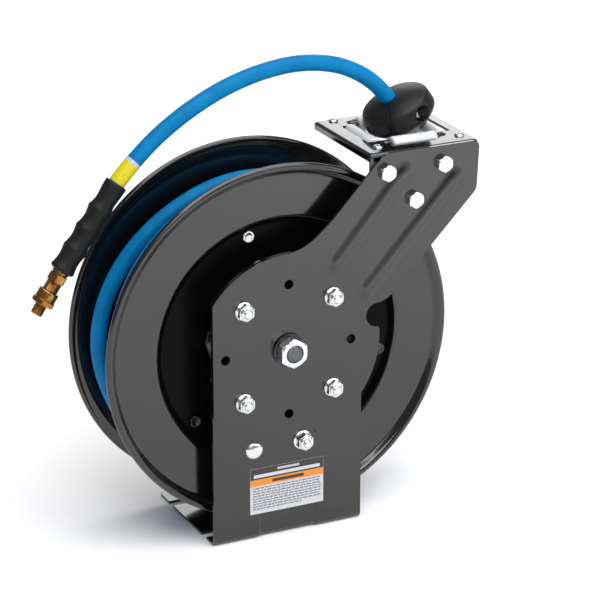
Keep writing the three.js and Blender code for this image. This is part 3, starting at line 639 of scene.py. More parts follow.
# Other looks of those slots, for inks, bands, and faces that differ from the rest of their piece; the darker zinc
# and the dish's darker coat are painted shade.
VARIANT = {
    # Darker zinc: painted shade.
    "painted_shade_zinc": zinc_with_painted_shade(),
    # The dish's darker coat: painted shade.
    "dish": dish_painted_shade(),
    "brown": printed_film("ink_brown", (48, 38, 38)),
    "orange": printed_film("ink_orange", (214, 132, 38)),
    "grey": printed_film("ink_grey", (96, 98, 104)),
    "yellow": printed_film("band_yellow", (206, 190, 4)),
    "white": printed_film("band_white", (184, 184, 196)),
}


# ---------- camera ----------
LENS = 161.6
EYE = (-1.1619, -2.5181, 1.2956)
SIGHT = (0.4059, 0.8431, -0.3528)


def camera():
    """The eye stands left of the reel and above it, and looks down at the near flange."""
    data = bpy.data.cameras.new("camera")
    data.sensor_width = 36
    data.lens = LENS
    eye = bpy.data.objects.new("camera", data)
    bpy.context.scene.collection.objects.link(eye)
    eye.location = EYE
    eye.rotation_mode = "QUATERNION"
    eye.rotation_quaternion = Vector(SIGHT).to_track_quat("-Z", "Y")
    bpy.context.scene.camera = eye


# ---------- hose outside the drum ----------
def hollow_hose(path, radius, name, body, nodes=()):
    """A hose with open ends, as two skins joined at each end."""
    outer = swept(path, radius, 28)
    bore = swept(path, HOSE_BORE_R, 28)
    rows = [bore[1], bore[0], *outer, bore[-1], bore[-2]]
    return make(Solid().loft(rows, capped=True), name, body, "hose", nodes, sharp=50)


GRIP_WAY = tuple((Vector(GRIP_END) - Vector(GRIP_START)).normalized())
GRIP_LENGTH = math.dist(GRIP_START, GRIP_END)


def grip():
    """Moulded grip: a plain collar, then four finger hollows with a crest between each two."""
    collar, rings = 9, 4
    pitch = (GRIP_LENGTH - collar - 2.5) / rings
    crest, hollow = 13.8, 11.2
    profile = [(9.3, 2), (9.3, 0.3), (10, 0), (11.9, 0), (12.4, 0.5), (12.3, 4), (12.2, 7)]
    for i in range(rings):
        for k in range(1, 13):
            t = k / 12
            low = hollow + 0.25 * i
            sag = math.sin(math.pi * t ** 1.12) ** 0.85
            rise = 12.3 + (crest - 12.3) * smooth(t) if i == 0 else crest
            profile.append((rise - (rise - low) * sag, collar + pitch * (i + t) - 0.6))
    foot = [(13.4, -1.6), (12.7, -0.5), (12, 0), (9.6, 0), (9.3, -1)]
    profile += [(r, GRIP_LENGTH + h) for r, h in foot]
    solid = Solid().loft(spun(profile, GRIP_START, GRIP_WAY, 72, closed=True), capped=False)
    return make(solid, "grip_rubber", "frame", "rubber", ["hose_grip"], sharp=55)


def hose_band(path):
    """Printed band round the hose just above the grip, blank, with a white edge."""
    grip_start = Vector(GRIP_START)
    top = min(range(len(path)), key=lambda i: (path[i] - grip_start).length)
    fine = route(path[top - 14: top + 2], 0.8)
    fine.reverse()
    begin = min(range(len(fine)), key=lambda i: (fine[i] - grip_start).length)
    pieces = []
    for name, start, end, look, proud in (
        ("band_yellow", 3.5, 26.5, "yellow", 0.3), ("band_white", 26.3, 31, "white", 0.22),
    ):
        walked, line = 0.0, []
        for a, b in zip(fine[begin:], fine[begin + 1:]):
            walked += (b - a).length
            if start - 4 <= walked <= end:
                line.append(b)
        outer = swept(line, HOSE_R + proud, 40)
        inner = swept(line, HOSE_R - 0.3, 40)
        solid = Solid().loft([inner[0], *outer, *reversed(inner)], capped=False)
        piece = make(solid, name, "frame", "label", sharp=50)
        paint(piece, VARIANT[look])
        pieces.append(piece)
    return pieces


def brass_end():
    """Ring, hexagon and threaded neck, then the nipple's round body, its hexagon and its pipe thread."""
    bore, line = 3.4, (GRIP_END, FITTING_WAY)
    ring = [(bore, 0.6), (9.6, 0.6), (9.6, 2.4), (8.2, 3.2), (8.2, 4.2), (bore, 4.2)]
    collar = turned(ring, *line, closed=True)
    hex_body(collar, *line, 19, 9.5, top=True, bottom=True, bore=bore, start=4)
    threaded(collar, *line, 8.6, 1.3, 12, 24.2, depth=0.55, chamfer=0.6, sides=56)
    first = make(collar, "collar_brass", "frame", "brass", ["hose_collar"], sharp=28)
    body = [(bore, 24.5), (10.2, 24.5), (11.2, 25.6), (11.2, 34), (10.6, 34.9), (bore, 34.9)]
    nipple = turned(body, *line, closed=True, corner=0.5)
    hex_body(nipple, *line, 24, 6.5, top=True, bottom=True, bore=bore, start=34.5)
    pipe_thread(
        nipple, *line, r=6.8, bore=bore, ends=(41, 53.5), lip=5.4, crests=(53.2, 40.8), cone=59,
        steps=90, sides=56,
    )
    second = make(nipple, "nipple_brass", "frame", "brass", ["hose_nipple"], sharp=28)
    return first, second


def hose_outside():
    line = route([(x, 0, z) for x, z in FREE], 4)
    hose = hollow_hose(line, HOSE_R, "hose_free_skin", "frame", ["hose_free"])
    collar, nipple = brass_end()
    bands = hose_band(line)
    grip()


# ---------- wound hose ----------
def turned_on(x, z):
    """A point of the hose's inner end as the drum has it, turned on round the shaft."""
    return polar(math.hypot(x, z), math.degrees(math.atan2(z, x)) + LEAD_TURN)


def lead_points():
    """The hose's inner end, from the swivel's fitting to the hole in the barrel."""
    out = []
    for place in [(52.5, 0), (64, 0), (84, 4), (100, 16), (110, 34), (113.5, 50)]:
        x, z = turned_on(*place)
        out.append((x, PORT_Y, z))
    return out


def on_winding(angle):
    """The centre line's point at an angle, eased between the winding's set places."""
    spans = list(zip(WINDING, WINDING[1:]))
    for i, (a, b) in enumerate(spans):
        if angle <= b[0] or i == len(spans) - 1:
            t = (angle - a[0]) / (b[0] - a[0])
            before = spans[i - 1][0] if i else a
            after = spans[i + 1][1] if i + 1 < len(spans) else b
            out = []
            for k in (1, 2):
                slope = (b[k] - before[k]) / (b[0] - before[0]) * (b[0] - a[0])
                leave = (after[k] - a[k]) / (after[0] - a[0]) * (b[0] - a[0])
                out.append(
                    (2 * t ** 3 - 3 * t * t + 1) * a[k] + (t ** 3 - 2 * t * t + t) * slope
                    + (3 * t * t - 2 * t ** 3) * b[k] + (t ** 3 - t * t) * leave
                )
            x, z = polar(out[0], angle)
            return x, out[1], z


def winding():
    step = 2.5
    first, last = WINDING[0][0], WINDING[-1][0]
    count = round((last - first) / step)
    coil = [on_winding(first + (last - first) * i / count) for i in range(count + 1)]
    path = route(lead_points() + coil[:3], 5)[:-1] + [Vector(p) for p in coil[3:]]
    nodes = ["hose_wound_inner", "hose_wound_outer", "hose_lead"]
    hollow_hose(path, HOSE_R - 0.08, "hose_coil", "drum", nodes)


def hose_run():
    """Down from the stop between the rollers to the winding, then into its outer layer."""
    tail = [on_winding(angle) for angle in range(2478, 2520, 6)]
    sink = []
    for i, (x, y, z) in enumerate(tail):
        deep = smooth((6 - i) / 6)
        sink.append((x * (1 - 0.1 * deep), y - 3 * deep, z * (1 - 0.1 * deep)))
    rise = [(186.2, 0, 6), (186.1, 0, 26)] + [(x, 0, z) for x, z in RUN]
    hollow_hose(route(sink + rise, 4), HOSE_R, "hose_run_skin", "frame", ["hose_run"])


# ---------- stand ----------
def stand_section():
    """Places down the post, round the bend and along the foot: outer skin (y, z), and the way inward."""
    places = []
    for angle in range(90, 0, -3):
        z = POST_TOP_R * math.sin(math.radians(angle - 0.01))
        width = POST_TOP_R * math.cos(math.radians(angle - 0.01))
        if width < HALF_WIDTH:
            places.append((POST_FRONT, z, 1, 0, width))
    z = math.sqrt(POST_TOP_R ** 2 - HALF_WIDTH ** 2)
    while z > FLOOR + BEND_R:
        places.append((POST_FRONT, z, 1, 0, HALF_WIDTH))
        z -= 1 if abs(z - GROOVE["top"]) < 5 else 6
    for k in range(13):
        turn = math.radians(7.5 * k)
        places.append((
            POST_FRONT + BEND_R - BEND_R * math.cos(turn), FLOOR + BEND_R - BEND_R * math.sin(turn),
            math.cos(turn), math.sin(turn), HALF_WIDTH,
        ))
    y = POST_FRONT + BEND_R + 5
    while y < FOOT_BACK:
        places.append((y, FLOOR, 0, 1, HALF_WIDTH))
        y += 1 if abs(y - GROOVE["end"]) < 5 else 6
    places.append((FOOT_BACK, FLOOR, 0, 1, HALF_WIDTH))
    return places


def groove_depth(x, y, z):
    side = smooth((GROOVE["half"] + GROOVE["wall"] / 2 - abs(x)) / GROOVE["wall"])
    above = smooth((GROOVE["top"] - z) / 4 + 0.5)
    beyond = smooth((GROOVE["end"] - y) / 4 + 0.5)
    return GROOVE["depth"] * side * above * beyond


def ring_of_holes(low, high):
    """Cutters for the eight holes round the shaft, which the post and the arm share."""
    return [
        prism(arc(*polar(BOLT_CIRCLE, angle), BOLT_HOLE_R, 0, 345, 15), low, high, in_xz)
        for angle in range(0, 360, 45)
    ]


def slot_cutter(side, y):
    inner = side * (HALF_WIDTH - SLOT["depth"])
    turned_by = 90 if side > 0 else -90
    round_end = arc(inner, y, SLOT["half"], turned_by, turned_by + 180, 12)
    far = side * (HALF_WIDTH + 3)
    outline = [*round_end, (far, y - side * SLOT["half"]), (far, y + side * SLOT["half"])]
    return prism(outline, FLOOR - 5, FLOOR + 10, in_xy)


def stand():
    edge = GROOVE["half"]
    columns = [k / 8 * (HALF_WIDTH - edge - 3) + edge + 3 for k in range(8, 0, -1)]
    columns += [edge + 3 - 0.5 * k for k in range(13)] + [24, 16, 8]
    columns = [-x for x in columns] + [0] + columns[::-1]
    rows = []
    for y, z, ny, nz, width in stand_section():
        row = []
        for thick, order in ((0, columns), (SHEET, columns[::-1])):
            for x in order:
                x = x * width / HALF_WIDTH
                inward = groove_depth(x, y, z) + thick
                row.append((x, y + ny * inward, z + nz * inward))
        rows.append(row)
    cutters = [slot_cutter(side, y) for side in (-1, 1) for y in (-SLOT["y"], SLOT["y"])]
    cutters += ring_of_holes(POST_FRONT - 5, POST_BACK + 5)
    carve(Solid().loft(rows), "stand_sheet", "frame", "black", ["stand"], cutters, 0.55, 40)


# ---------- guide arm ----------
def arm_outline():
    """The disc round the shaft, then the arm's upper edge, its end and its lower edge."""
    corner = math.degrees(math.acos(HALF_WIDTH / ARM_DISC_R))
    low_right = 3.44
    out = arc(0, 0, ARM_DISC_R, 180 - corner, 90)
    out += bezier((0, 110), (20, 112), (34, 123), (54, 142))
    out += [(107, 198)] + bezier((107, 198), (114, 206), (122, 206), count=8)
    out += [(222, 206)] + bezier((222, 206), (229.5, 205.6), (230, 199), count=8)
    out += [(228, 155)] + bezier((228, 155), (227.5, 150), (224, 146.5), count=6)
    out += [(126, 45.5)] + bezier((126, 45.5), (116, 36), (101, 36), count=8)
    out += [(100, 20)] + arc(0, 0, ARM_DISC_R, low_right, corner - 180)
    return out


def rib_height(distance, half, height):
    return height / 2 * (1 + math.cos(math.pi * min(1, distance / half)))


def pressed(start, end, half, height, place, sheet=SHEET, round_start=True, fade=0.0, proud=0.015):
    """A pressed ridge from start to end: a front skin, and a back skin a sheet behind it. It can fade out."""
    a, b = Vector(start), Vector(end)
    ahead = (b - a).normalized()
    across = Vector((-ahead.y, ahead.x))
    marks = [k / 16 for k in range(17)]
    rows = []

    def skin(centre, way, rise):
        return [(*(centre + way * (half * m)), rib_height(half * m, half, rise) + proud) for m in marks]

    def section(centre, left, right):
        left_over = (b - centre).length
        rise = height * (0.02 + 0.98 * smooth(left_over / fade)) if fade else height
        line = [*skin(centre, left, rise)[::-1], *skin(centre, right, rise)[1:]]
        front = [place(u, v, h) for u, v, h in line]
        back = [place(u, v, h - sheet) for u, v, h in reversed(line)]
        return front + back

    turns = 24

    def turn_end(centre, t, way):
        out = across * math.cos(t)
        back = ahead * (way * math.sin(t))
        rows.append(section(centre, out + back, back - out))

    if round_start:
        for k in range(turns // 2):
            turn_end(a, math.pi / 2 * (1 - k / (turns / 2)), -1)
    rows.append(section(a, across, -across))
    count = max(2, int((b - a).length / 6))
    for k in range(1, count):
        rows.append(section(a.lerp(b, k / count), across, -across))
    rows.append(section(b, across, -across))
    for k in range(1, turns // 2 + 1):
        turn_end(b, math.pi / 2 * k / (turns / 2), 1)
    return Solid().loft(rows)


def on_arm(u, v, h):
    return u, ARM_FRONT - h, v


def capsule(start, end, r):
    a, b = Vector(start), Vector(end)
    way = math.degrees(math.atan2((b - a).y, (b - a).x))
    return arc(a.x, a.y, r, way + 90, way + 270, 10) + arc(b.x, b.y, r, way - 90, way + 90, 10)


def guide_arm():
    low, high = ARM_FRONT - 9, POST_FRONT + 9
    cutters = [prism(capsule(a, b, RIB["half"] - 1.2), low, high, in_xz) for a, b in RIBS]
    cutters += ring_of_holes(low, high)
    cutters += [prism(arc(x, z, r, 0, 354, 6), low, high, in_xz) for x, z, r in NOTCHES]
    plate = prism(arm_outline(), ARM_FRONT, POST_FRONT, in_xz)
    carve(plate, "arm_plate", "frame", "black", ["guide_arm"], cutters, 1.1, 32, 3)
    for i, (a, b) in enumerate(RIBS):
        rib = pressed(a, b, RIB["half"], RIB["height"], on_arm, fade=RIB["fade"])
        make(rib, f"arm_rib_{i + 1}", "frame", "black", sharp=40)


# ---------- fasteners ----------
def bolt_head(x, z, face, across_flats, height, way):
    """A hexagon head on its washer face, standing out from face along way (+1 or -1 in Y)."""
    solid, line = Solid(), ((x, face, z), (0, way, 0))
    hex_body(solid, *line, across_flats, height - 0.5, top=True, start=0.5)
    rim = across_flats / 2 - 0.4
    return turned([(0, 0), (rim, 0), (rim, 0.6), (0, 0.6)], *line, corner=0.2, into=solid)


def flange_nut(node, x, z, face, flange_r, height, bore):
    """A lock nut: a thin coned flange, a chamfered hexagon, and a round collar that grips the thread."""
    line, flats = ((x, face, z), (0, -1, 0)), M10["flats"]
    cone = [(bore, 0), (flange_r, 0), (flange_r, 0.9), (flats / 2, 2.4), (bore, 2.4)]
    solid = turned(cone, *line, closed=True, corner=0.3)
    hex_body(solid, *line, flats, height - 4.2, top=True, bore=bore, start=1.6)
    r, foot = flats / 2 - 0.9, height - 2.8
    collar = [(bore, foot), (r, foot), (r, height - 0.9), (r - 1.6, height), (bore, height)]
    turned(collar, *line, closed=True, corner=0.7, steps=4, into=solid)
    make(solid, f"{node}_zinc", "frame", "zinc", [node], 28)


def arm_fasteners():
    for i, angle in enumerate(ARM_BOLT_ANGLES):
        x, z = polar(BOLT_CIRCLE, angle)
        solid = bolt_head(x, z, POST_BACK, M10["flats"], 6.25, 1)
        threaded(solid, (x, ARM_FRONT, z), (0, -1, 0), M10["r"], M10["pitch"], -5.5, 13, chamfer=1.2)
        make(solid, f"arm_bolt_{i + 1}_zinc", "frame", "zinc", [f"arm_bolt_{i + 1}"], 28)
        flange_nut(f"arm_nut_{i + 1}", x, z, ARM_FRONT, 10.5, 11.5, M10["bore"])


def bracket_bolts():
    for i, (x, z) in enumerate(BRACKET_BOLTS):
        solid = bolt_head(x, z, ARM_FRONT, M10["flats"], 7, -1)
        tip = POST_BACK + 9.5 - ARM_FRONT
        threaded(solid, (x, ARM_FRONT, z), (0, 1, 0), M10["r"], M10["pitch"], 0.5, tip)
        make(solid, f"bracket_bolt_{i + 1}_zinc", "frame", "zinc", [f"bracket_bolt_{i + 1}"], 28)
        nut = hex_body(Solid(), (x, POST_BACK, z), (0, 1, 0), M10["flats"], 8, top=True, bore=M10["bore"])
        make(nut, f"bracket_nut_{i + 1}", "frame", "black", sharp=28)


def pawl_fasteners():
    """The pawl's pivot bolt with its nut, and the domed bolt that anchors the spring."""
    x, z = PAWL_PIVOT
    line = (x, POST_FRONT, z), (0, -1, 0)
    solid = threaded(Solid(), *line, 4, 1.25, -2.9, 16, chamfer=1)
    for r, a, b in ((8, 3, 20.2), (5, 20, 25.8), (6, 25.6, 28)):
        turned([(0, -a), (r, -a), (r, -b), (0, -b)], *line, 48, corner=0.5, into=solid)
    make(solid, "pawl_pivot_zinc", "frame", "zinc", ["pawl_pivot_bolt"], 28)
    flange_nut("pawl_nut", x, z, POST_FRONT, 11, 13, 4.15)
    x, z = ANCHOR
    crown, edge, reach, turn_out = 4.25, 0.15, 10.2, 1.35
    dome = []
    for k in range(13):
        t = turn_out * k / 12
        drop = (1 - math.cos(t)) / (1 - math.cos(turn_out))
        dome.append((reach * math.sin(t) / math.sin(turn_out), crown - (crown - edge) * drop))
    dome += [(reach - 0.2, 0), (4, 0), (4, -24), (3.5, -24.3), (0, -24.3)]
    bolt = Solid().loft(spun(dome, (x, POST_FRONT, z), (0, -1, 0), 64), capped=False)
    make(bolt, "anchor_zinc", "frame", "zinc", ["spring_anchor_bolt"], 40)


# ---------- roller guide ----------
def screw_places():
    return [(GUIDE["x"] + sx * SCREW_X, sy * SCREW_Y) for sx in (-1, 1) for sy in (-1, 1)]


def roller_places():
    """Whether each roller lies along X, its middle, its axis's height and its length."""
    x = GUIDE["x"]
    return [
        (False, (x - SIDE_OFFSET, 0), SIDE_AXIS, SIDE_LENGTH),
        (False, (x + SIDE_OFFSET, 0), SIDE_AXIS, SIDE_LENGTH),
        (True, (x, -END_OFFSET), END_AXIS, END_LENGTH),
        (True, (x, END_OFFSET), END_AXIS, END_LENGTH),
    ]


def cross_outline():
    """The opening over the four rollers: a cross with rounded corners."""
    side_in = SIDE_OFFSET + ROLLER_R + POCKET
    end_in = END_OFFSET + ROLLER_R + POCKET
    side_half = SIDE_LENGTH / 2 + POCKET
    end_half = END_LENGTH / 2 + POCKET
    x = GUIDE["x"]
    quarter = [(side_in, 0), (side_in, side_half), (end_half, side_half), (end_half, end_in), (0, end_in)]
    turn = [(x + a, b) for a, b in quarter]
    turn += [(x - a, b) for a, b in reversed(quarter[:-1])]
    turn += [(x - a, -b) for a, b in quarter[1:]]
    turn += [(x + a, -b) for a, b in reversed(quarter[1:-1])]
    return rounded(turn, 2.0, 3, closed=True)


def tray(inset, bottom, edge):
    """A block with its outer bends rounded, for the outside or the inside of the folded plate."""
    front = POST_FRONT + inset
    top = GUIDE["top"] - inset
    left, right, back = GUIDE["left"] + inset, GUIDE["right"] - inset, GUIDE["back"] - inset
    corners = rounded([(left, back), (left, front), (right, front), (right, back)], edge, 5, True)
    rows = [[(x, y, bottom) for x, y in corners]]
    middle_x, middle_y = (left + right) / 2, (front + back) / 2
    for k in range(7):
        turn = math.pi / 2 * k / 6
        shrink = edge * (1 - math.cos(turn))
        rise = top - edge + edge * math.sin(turn)
        row = []
        for x, y in corners:
            row.append((
                middle_x + (x - middle_x) * (1 - shrink / (right - middle_x)),
                middle_y + (y - middle_y) * (1 - shrink / (back - middle_y)), rise,
            ))
        rows.append(row)
    return Solid().loft(rows)


def journal_bumps(name, level, outward, half, clear):
    """Bumps pressed out of a plate (outward is +1 up, -1 down) over the journals at the rollers' ends."""
    count = 0
    for along_x, (cx, cy), axis_z, length in roller_places():
        for side in (-1, 1):
            count += 1
            begin = length / 2 + POCKET
            reach = length / 2 + JOURNAL_LENGTH + 0.5
            rise = outward * (axis_z + outward * clear - level)

            def place(u, v, h, along_x=along_x, cx=cx, cy=cy, side=side):
                u, h = u * side, level + outward * h
                return (cx + u, cy + v, h) if along_x else (cx + v, cy + u, h)

            bump = pressed((begin, 0), (reach, 0), half, rise, place, 1.2, round_start=False)
            make(bump, f"{name}_{count}", "frame", "black", sharp=50)


def guide_bracket():
    top, lip = GUIDE["top"], GUIDE["lip"]
    opening = prism(cross_outline(), top - 30, top + 10, in_xy)
    holes = [prism(arc(x, y, 2.9, 0, 340, 20), top - 9, top + 3, in_xy) for x, y in screw_places()]
    cutters = [tray(SHEET, top - 40, 1.4), opening, *holes]
    carve(tray(0, top - lip, 4), "guide_plate", "frame", "black", ["guide_bracket"], cutters, 0.45, 50)
    face = [(98, 203), (98, 177), (138, 138), (163, 138), (222, 176), (225, 203)]
    sheet = prism(rounded(face, 6, 5, True), POST_FRONT, POST_BACK, in_xz)
    carve(sheet, "guide_face", "frame", "black", round_edges=0.5, sharp=50)
    journal_bumps("seat", top, 1, 7, 6)


def rollers():
    names = ["roller_left", "roller_right", "roller_front", "roller_rear"]
    for name, (along_x, (x, y), z, length) in zip(names, roller_places()):
        half, r, tip = length / 2, ROLLER_R, length / 2 + JOURNAL_LENGTH
        end = [(0, tip), (JOURNAL_R, tip, 0.6), (JOURNAL_R, half), (r - 1.2, half, 0.3), (r, half - 1.2, 0.8)]
        profile = end + [(r, 0)] + [(p[0], -p[1], *p[2:]) for p in reversed(end)]
        way = (1, 0, 0) if along_x else (0, 1, 0)
        make(turned(profile, (x, y, z), way, 72, corner=0.5), f"{name}_barrel", name, "roller", [name], 40)


def guide_screws():
    """Pan heads with a cross recess."""
    top = GUIDE["top"]
    head = [(0, 3.2), (2.4, 3.1), (4.4, 2.3), (5.6, 0.6), (5.6, 0), (2.5, 0), (2.5, -12), (0, -12)]
    for i, (x, y) in enumerate(screw_places()):
        solid = turned(head, (x, y, top), (0, 0, 1), 48, corner=0.8, steps=4)
        cross = [block(x - a, x + a, y - b, y + b, top + 1.4, top + 6) for a, b in ((2.9, 0.55), (0.55, 2.9))]
        node = f"guide_screw_{i + 1}"
        carve(solid, f"{node}_zinc", "frame", "zinc", [node], cross, sharp=35)


def roller_keeper():
    """The lower plate, which holds the rollers up into the bracket, with a collar at each screw."""
    inset = SHEET + 1
    top = GUIDE["top"] - SHEET - 0.4
    under = top - SHEET
    left, right = GUIDE["left"] + inset, GUIDE["right"] - inset
    front, back = POST_BACK + inset, GUIDE["back"] - inset
    outline = rounded([(left, front), (right, front), (right, back), (left, back)], 4, 4, True)
    opening = prism(cross_outline(), top - 20, top + 10, in_xy)
    plate = prism(outline, under, top, in_xy)
    carve(plate, "keeper_plate", "frame", "black", ["roller_keeper"], [opening], 0.4, 50)
    collar = [(2.9, top - 8), (5, top - 8), (5, under + 0.2), (2.9, under + 0.2)]
    for i, (x, y) in enumerate(screw_places()):
        solid = turned(collar, (x, y, 0), (0, 0, 1), 40, True)
        make(solid, f"keeper_collar_{i + 1}", "frame", "black", sharp=35)
    journal_bumps("keeper_seat", under, -1, 9, 7)


# ---------- hose stop ----------
STOP_PROFILE = [
    (0, 20), (14, 19.5, 6), (26, 16.5, 6), (35, 12.5, 4), (38.5, 10, 3), (41, -5, 2), (39.5, -9, 2),
    (36, -12.5, 4), (24, -24, 5), (20, -26, 2), (0, -26),
]


def tilted(x, y, z):
    """From the stop's own axes to the frame's."""
    lean, turn = math.radians(BALL["lean"]), math.radians(BALL["turn"])
    x, y = x * math.cos(turn) - y * math.sin(turn), x * math.sin(turn) + y * math.cos(turn)
    return (
        BALL["x"] + x * math.cos(lean) - z * math.sin(lean),
        y,
        BALL["z"] + x * math.sin(lean) + z * math.cos(lean),
    )


def across_stop(y, low, high, r, sides=20):
    """A cutter along the stop's own X axis."""
    ring = [polar(r, 360 * k / sides) for k in range(sides)]
    return Solid().loft([[tilted(x, y + v, w) for v, w in ring] for x in (low, high)])


def ball_stop():
    """Two halves with a seam between them, bored for the hose and clamped by two screws."""
    outline = rounded(STOP_PROFILE, 1, 6)
    path = route([(x, 0, z) for x, z in (RUN + FREE)[4:13]], 4)
    screw_y, pocket_r, seam, sides = 24, 8.2, 0.3, 48
    for sign, name in ((-1, "lower"), (1, "upper")):
        rows = []
        for r, h in outline:
            turns = [math.pi * (k / sides - 0.5) for k in range(sides + 1)]
            rows.append([tilted(sign * (seam + r * math.cos(t)), r * math.sin(t), h) for t in turns])
        cutters = [Solid().loft(swept(path, HOSE_R + 0.5, 28))]
        for y in (-screw_y, screw_y):
            cutters.append(across_stop(y, -60, 60, 3.3))
            cutters.append(across_stop(y, 21.7, 60, pocket_r, 24))
        cutters.append(across_stop(screw_y, -60, -23, pocket_r, 24))
        half = Solid().loft(rows, capped=False)
        carve(half, f"stop_{name}", "frame", "plastic", [f"stop_half_{name}"], cutters, 0.7, 55, 3)
    for y, name in ((-screw_y, "front"), (screw_y, "rear")):
        line = tilted(22, y, 0), Vector(tilted(1, 0, 0)) - Vector(tilted(0, 0, 0))
        solid = hex_body(Solid(), *line, 9, 5, top=True)
        threaded(solid, *line, 2.9, 1, -50, 0.5, chamfer=0.5)
        make(solid, f"stop_screw_{name}_zinc", "frame", "zinc", [f"stop_screw_{name}"], 28)


# ---------- drum ----------
def flange(side, name, node):
    """A dished sheet with a rolled rim, on the side given (+1 or -1 in Y), its dish in a darker coat of painted
    shade.
    """
    inner = FLANGE_SHEET
    profile = [
        (20, DISH_Y), (136.5, DISH_Y, 2.5), (143.5, FACE_Y, 2.5), (191, FACE_Y, 2), (195.5, RIM_Y + 2, 2),
        (198, RIM_Y + 3.6, 1.5), (201.5, RIM_Y + 3.4, 2.2), (RIM_R, RIM_Y, 3.2), (201.5, RIM_Y - 3.4, 2.2),
        (198, RIM_Y - 3.4, 1.5), (193.5, FACE_Y - inner, 2), (144.2, FACE_Y - inner, 2.5),
        (137.2, DISH_Y - inner, 2.5), (20, DISH_Y - inner),
    ]
    sheet = turned(profile, (0, 0, 0), (0, side, 0), 256, True, 0.3, 6)
    piece = make(sheet, name, "drum", "black", [node], 40)
    # Faces inside DISH_EDGE get the darker coat: painted shade.
    piece.data.materials.append(VARIANT["dish"])
    for face in piece.data.polygons:
        if math.hypot(face.center.x, face.center.z - SHAFT_HEIGHT * MM) < DISH_EDGE * MM:
            face.material_index = 1


def barrel():
    """The drum's barrel, with a sloping hole where the hose comes out."""
    wall = [(CORE_R - 2, -41.6), (CORE_R, -41.6), (CORE_R, 41.6), (CORE_R - 2, 41.6)]
    start, end = (Vector((x, PORT_Y, z)) for x, z in (turned_on(118, 40), turned_on(118, 110)))
    hole = Solid().loft(swept([start.lerp(end, k / 4) for k in range(5)], HOSE_R + 3, 32))
    solid = turned(wall, *SHAFT_LINE, 192, True, steps=2)
    carve(solid, "barrel", "drum", "black", ["drum_core"], [hole], sharp=40)


def tie_bolts():
    """Dimpled hexagon heads in the near dish and nuts in the far one; two heads are darkened with painted shade.
    """
    flats, height = 12, 5
    for i, place in enumerate(TIE_BOLTS):
        x, z = polar(*place)
        origin = (x, -DISH_Y, z)
        solid = bolt_head(x, z, -DISH_Y, flats, height, -1)
        threaded(solid, origin, (0, 1, 0), 3, 1, 0.5, DISH_Y + 48, chamfer=0.6, sides=20)
        dimple = [(0, 3.6), (2.9, 4.2), (3.2, 6), (0, 6)]
        dimple = Solid().loft(spun(dimple, origin, (0, -1, 0), 32), capped=False)
        node = f"tie_bolt_{i + 1}"
        head = carve(solid, f"{node}_zinc", "drum", "zinc", [node], [dimple], sharp=28)
        # Heads 2 and 3 get the darker zinc: painted shade.
        if i:
            paint(head, VARIANT["painted_shade_zinc"])
        nut = hex_body(Solid(), (x, DISH_Y, z), (0, 1, 0), flats, height, top=True, bore=3.1)
        make(nut, f"tie_nut_{i + 1}", "drum", "zinc", sharp=28)


def drum():
    flange(-1, "flange_near", "front_flange")
    flange(1, "flange_far", "rear_flange")
    barrel()
    tie_bolts()


def ratchet():
    """A toothed plate and its hub on the near flange, and the bronze bush in them."""
    root, tip, step = RATCHET["root"], RATCHET["tip"], 360 / RATCHET["teeth"]
    tooth = [
        (root, 0, 1.2), (tip, 1, 0.8), (tip, 5.5, 0.5), (tip, 10, 1.5), (root, step - 6, 3),
        (root, step - 3, 0.5),
    ]
    outline = []
    for i in range(RATCHET["teeth"]):
        start = 18 + i * step
        outline += [(*polar(r, start + turn), corner) for r, turn, corner in tooth]
    wheel = prism(rounded(outline, 1, 3, True), -53.25, -49.25, in_xz)
    hole = prism(arc(0, 0, 16.3, 0, 354, 6), -60, -40, in_xz)
    carve(wheel, "ratchet_plate", "drum", "steel", ["ratchet_wheel"], [hole], 0.4, 40)
    hub = [(16.3, -50), (45, -50), (45, -43.25), (16.3, -43.25)]
    make(turned(hub, *SHAFT_LINE, 96, True, 0.6), "ratchet_hub", "drum", "steel", sharp=40)
    bush = [(10.4, -56.25), (21, -56.25), (21, -53.5), (16, -53.5), (16, -40), (10.4, -40)]
    make(turned(bush, *SHAFT_LINE, 72, True), "hub_bush_bronze", "drum", "bronze", ["hub_bush"], 40)


def pawl():
    """The lever that drops into the ratchet, its spring's pin, and the coil spring to the anchor bolt."""
    px, pz = PAWL_PIVOT
    outline = [
        (px - 6, pz - 9.5, 4), (-10, -120.5, 2), (-10, -112.5, 2), (-6, -106, 3), (-14, -92.5, 0.8),
        (-8, -90, 0.8), (8, -96, 4), (px + 7, pz + 8.5, 5), (px + 11, pz, 8), (px + 5, pz - 9.8, 6),
    ]
    hole = prism(arc(px, pz, 5.4, 0, 350, 10), -60, -40, in_xz)
    lever = prism(rounded(outline, 2, 4, True), -53.75, -48.75, in_xz)
    carve(lever, "pawl_lever", "pawl", "steel", ["pawl"], [hole], 0.5, 40)
    pin = turned([(0, -9), (2, -9), (2, 0.5), (0, 0.5)], (-6, -53.75, -116), (0, 1, 0), 32)
    make(pin, "pawl_pin", "pawl", "steel")
    turns, steps, coil_r = 6, 20, 3.6
    start, end = ANCHOR[0] + 6, -10
    coil = []
    for i in range(turns * steps + 1):
        x = start + (end - start) * i / (turns * steps)
        turn = TURN * i / steps
        coil.append(Vector((x, -59 + coil_r * math.cos(turn), -113.5 + coil_r * math.sin(turn))))
    spring = Solid().loft(swept(coil, 0.6, 12))
    make(spring, "pawl_spring_wire", "frame", "steel", ["pawl_spring"], 50)


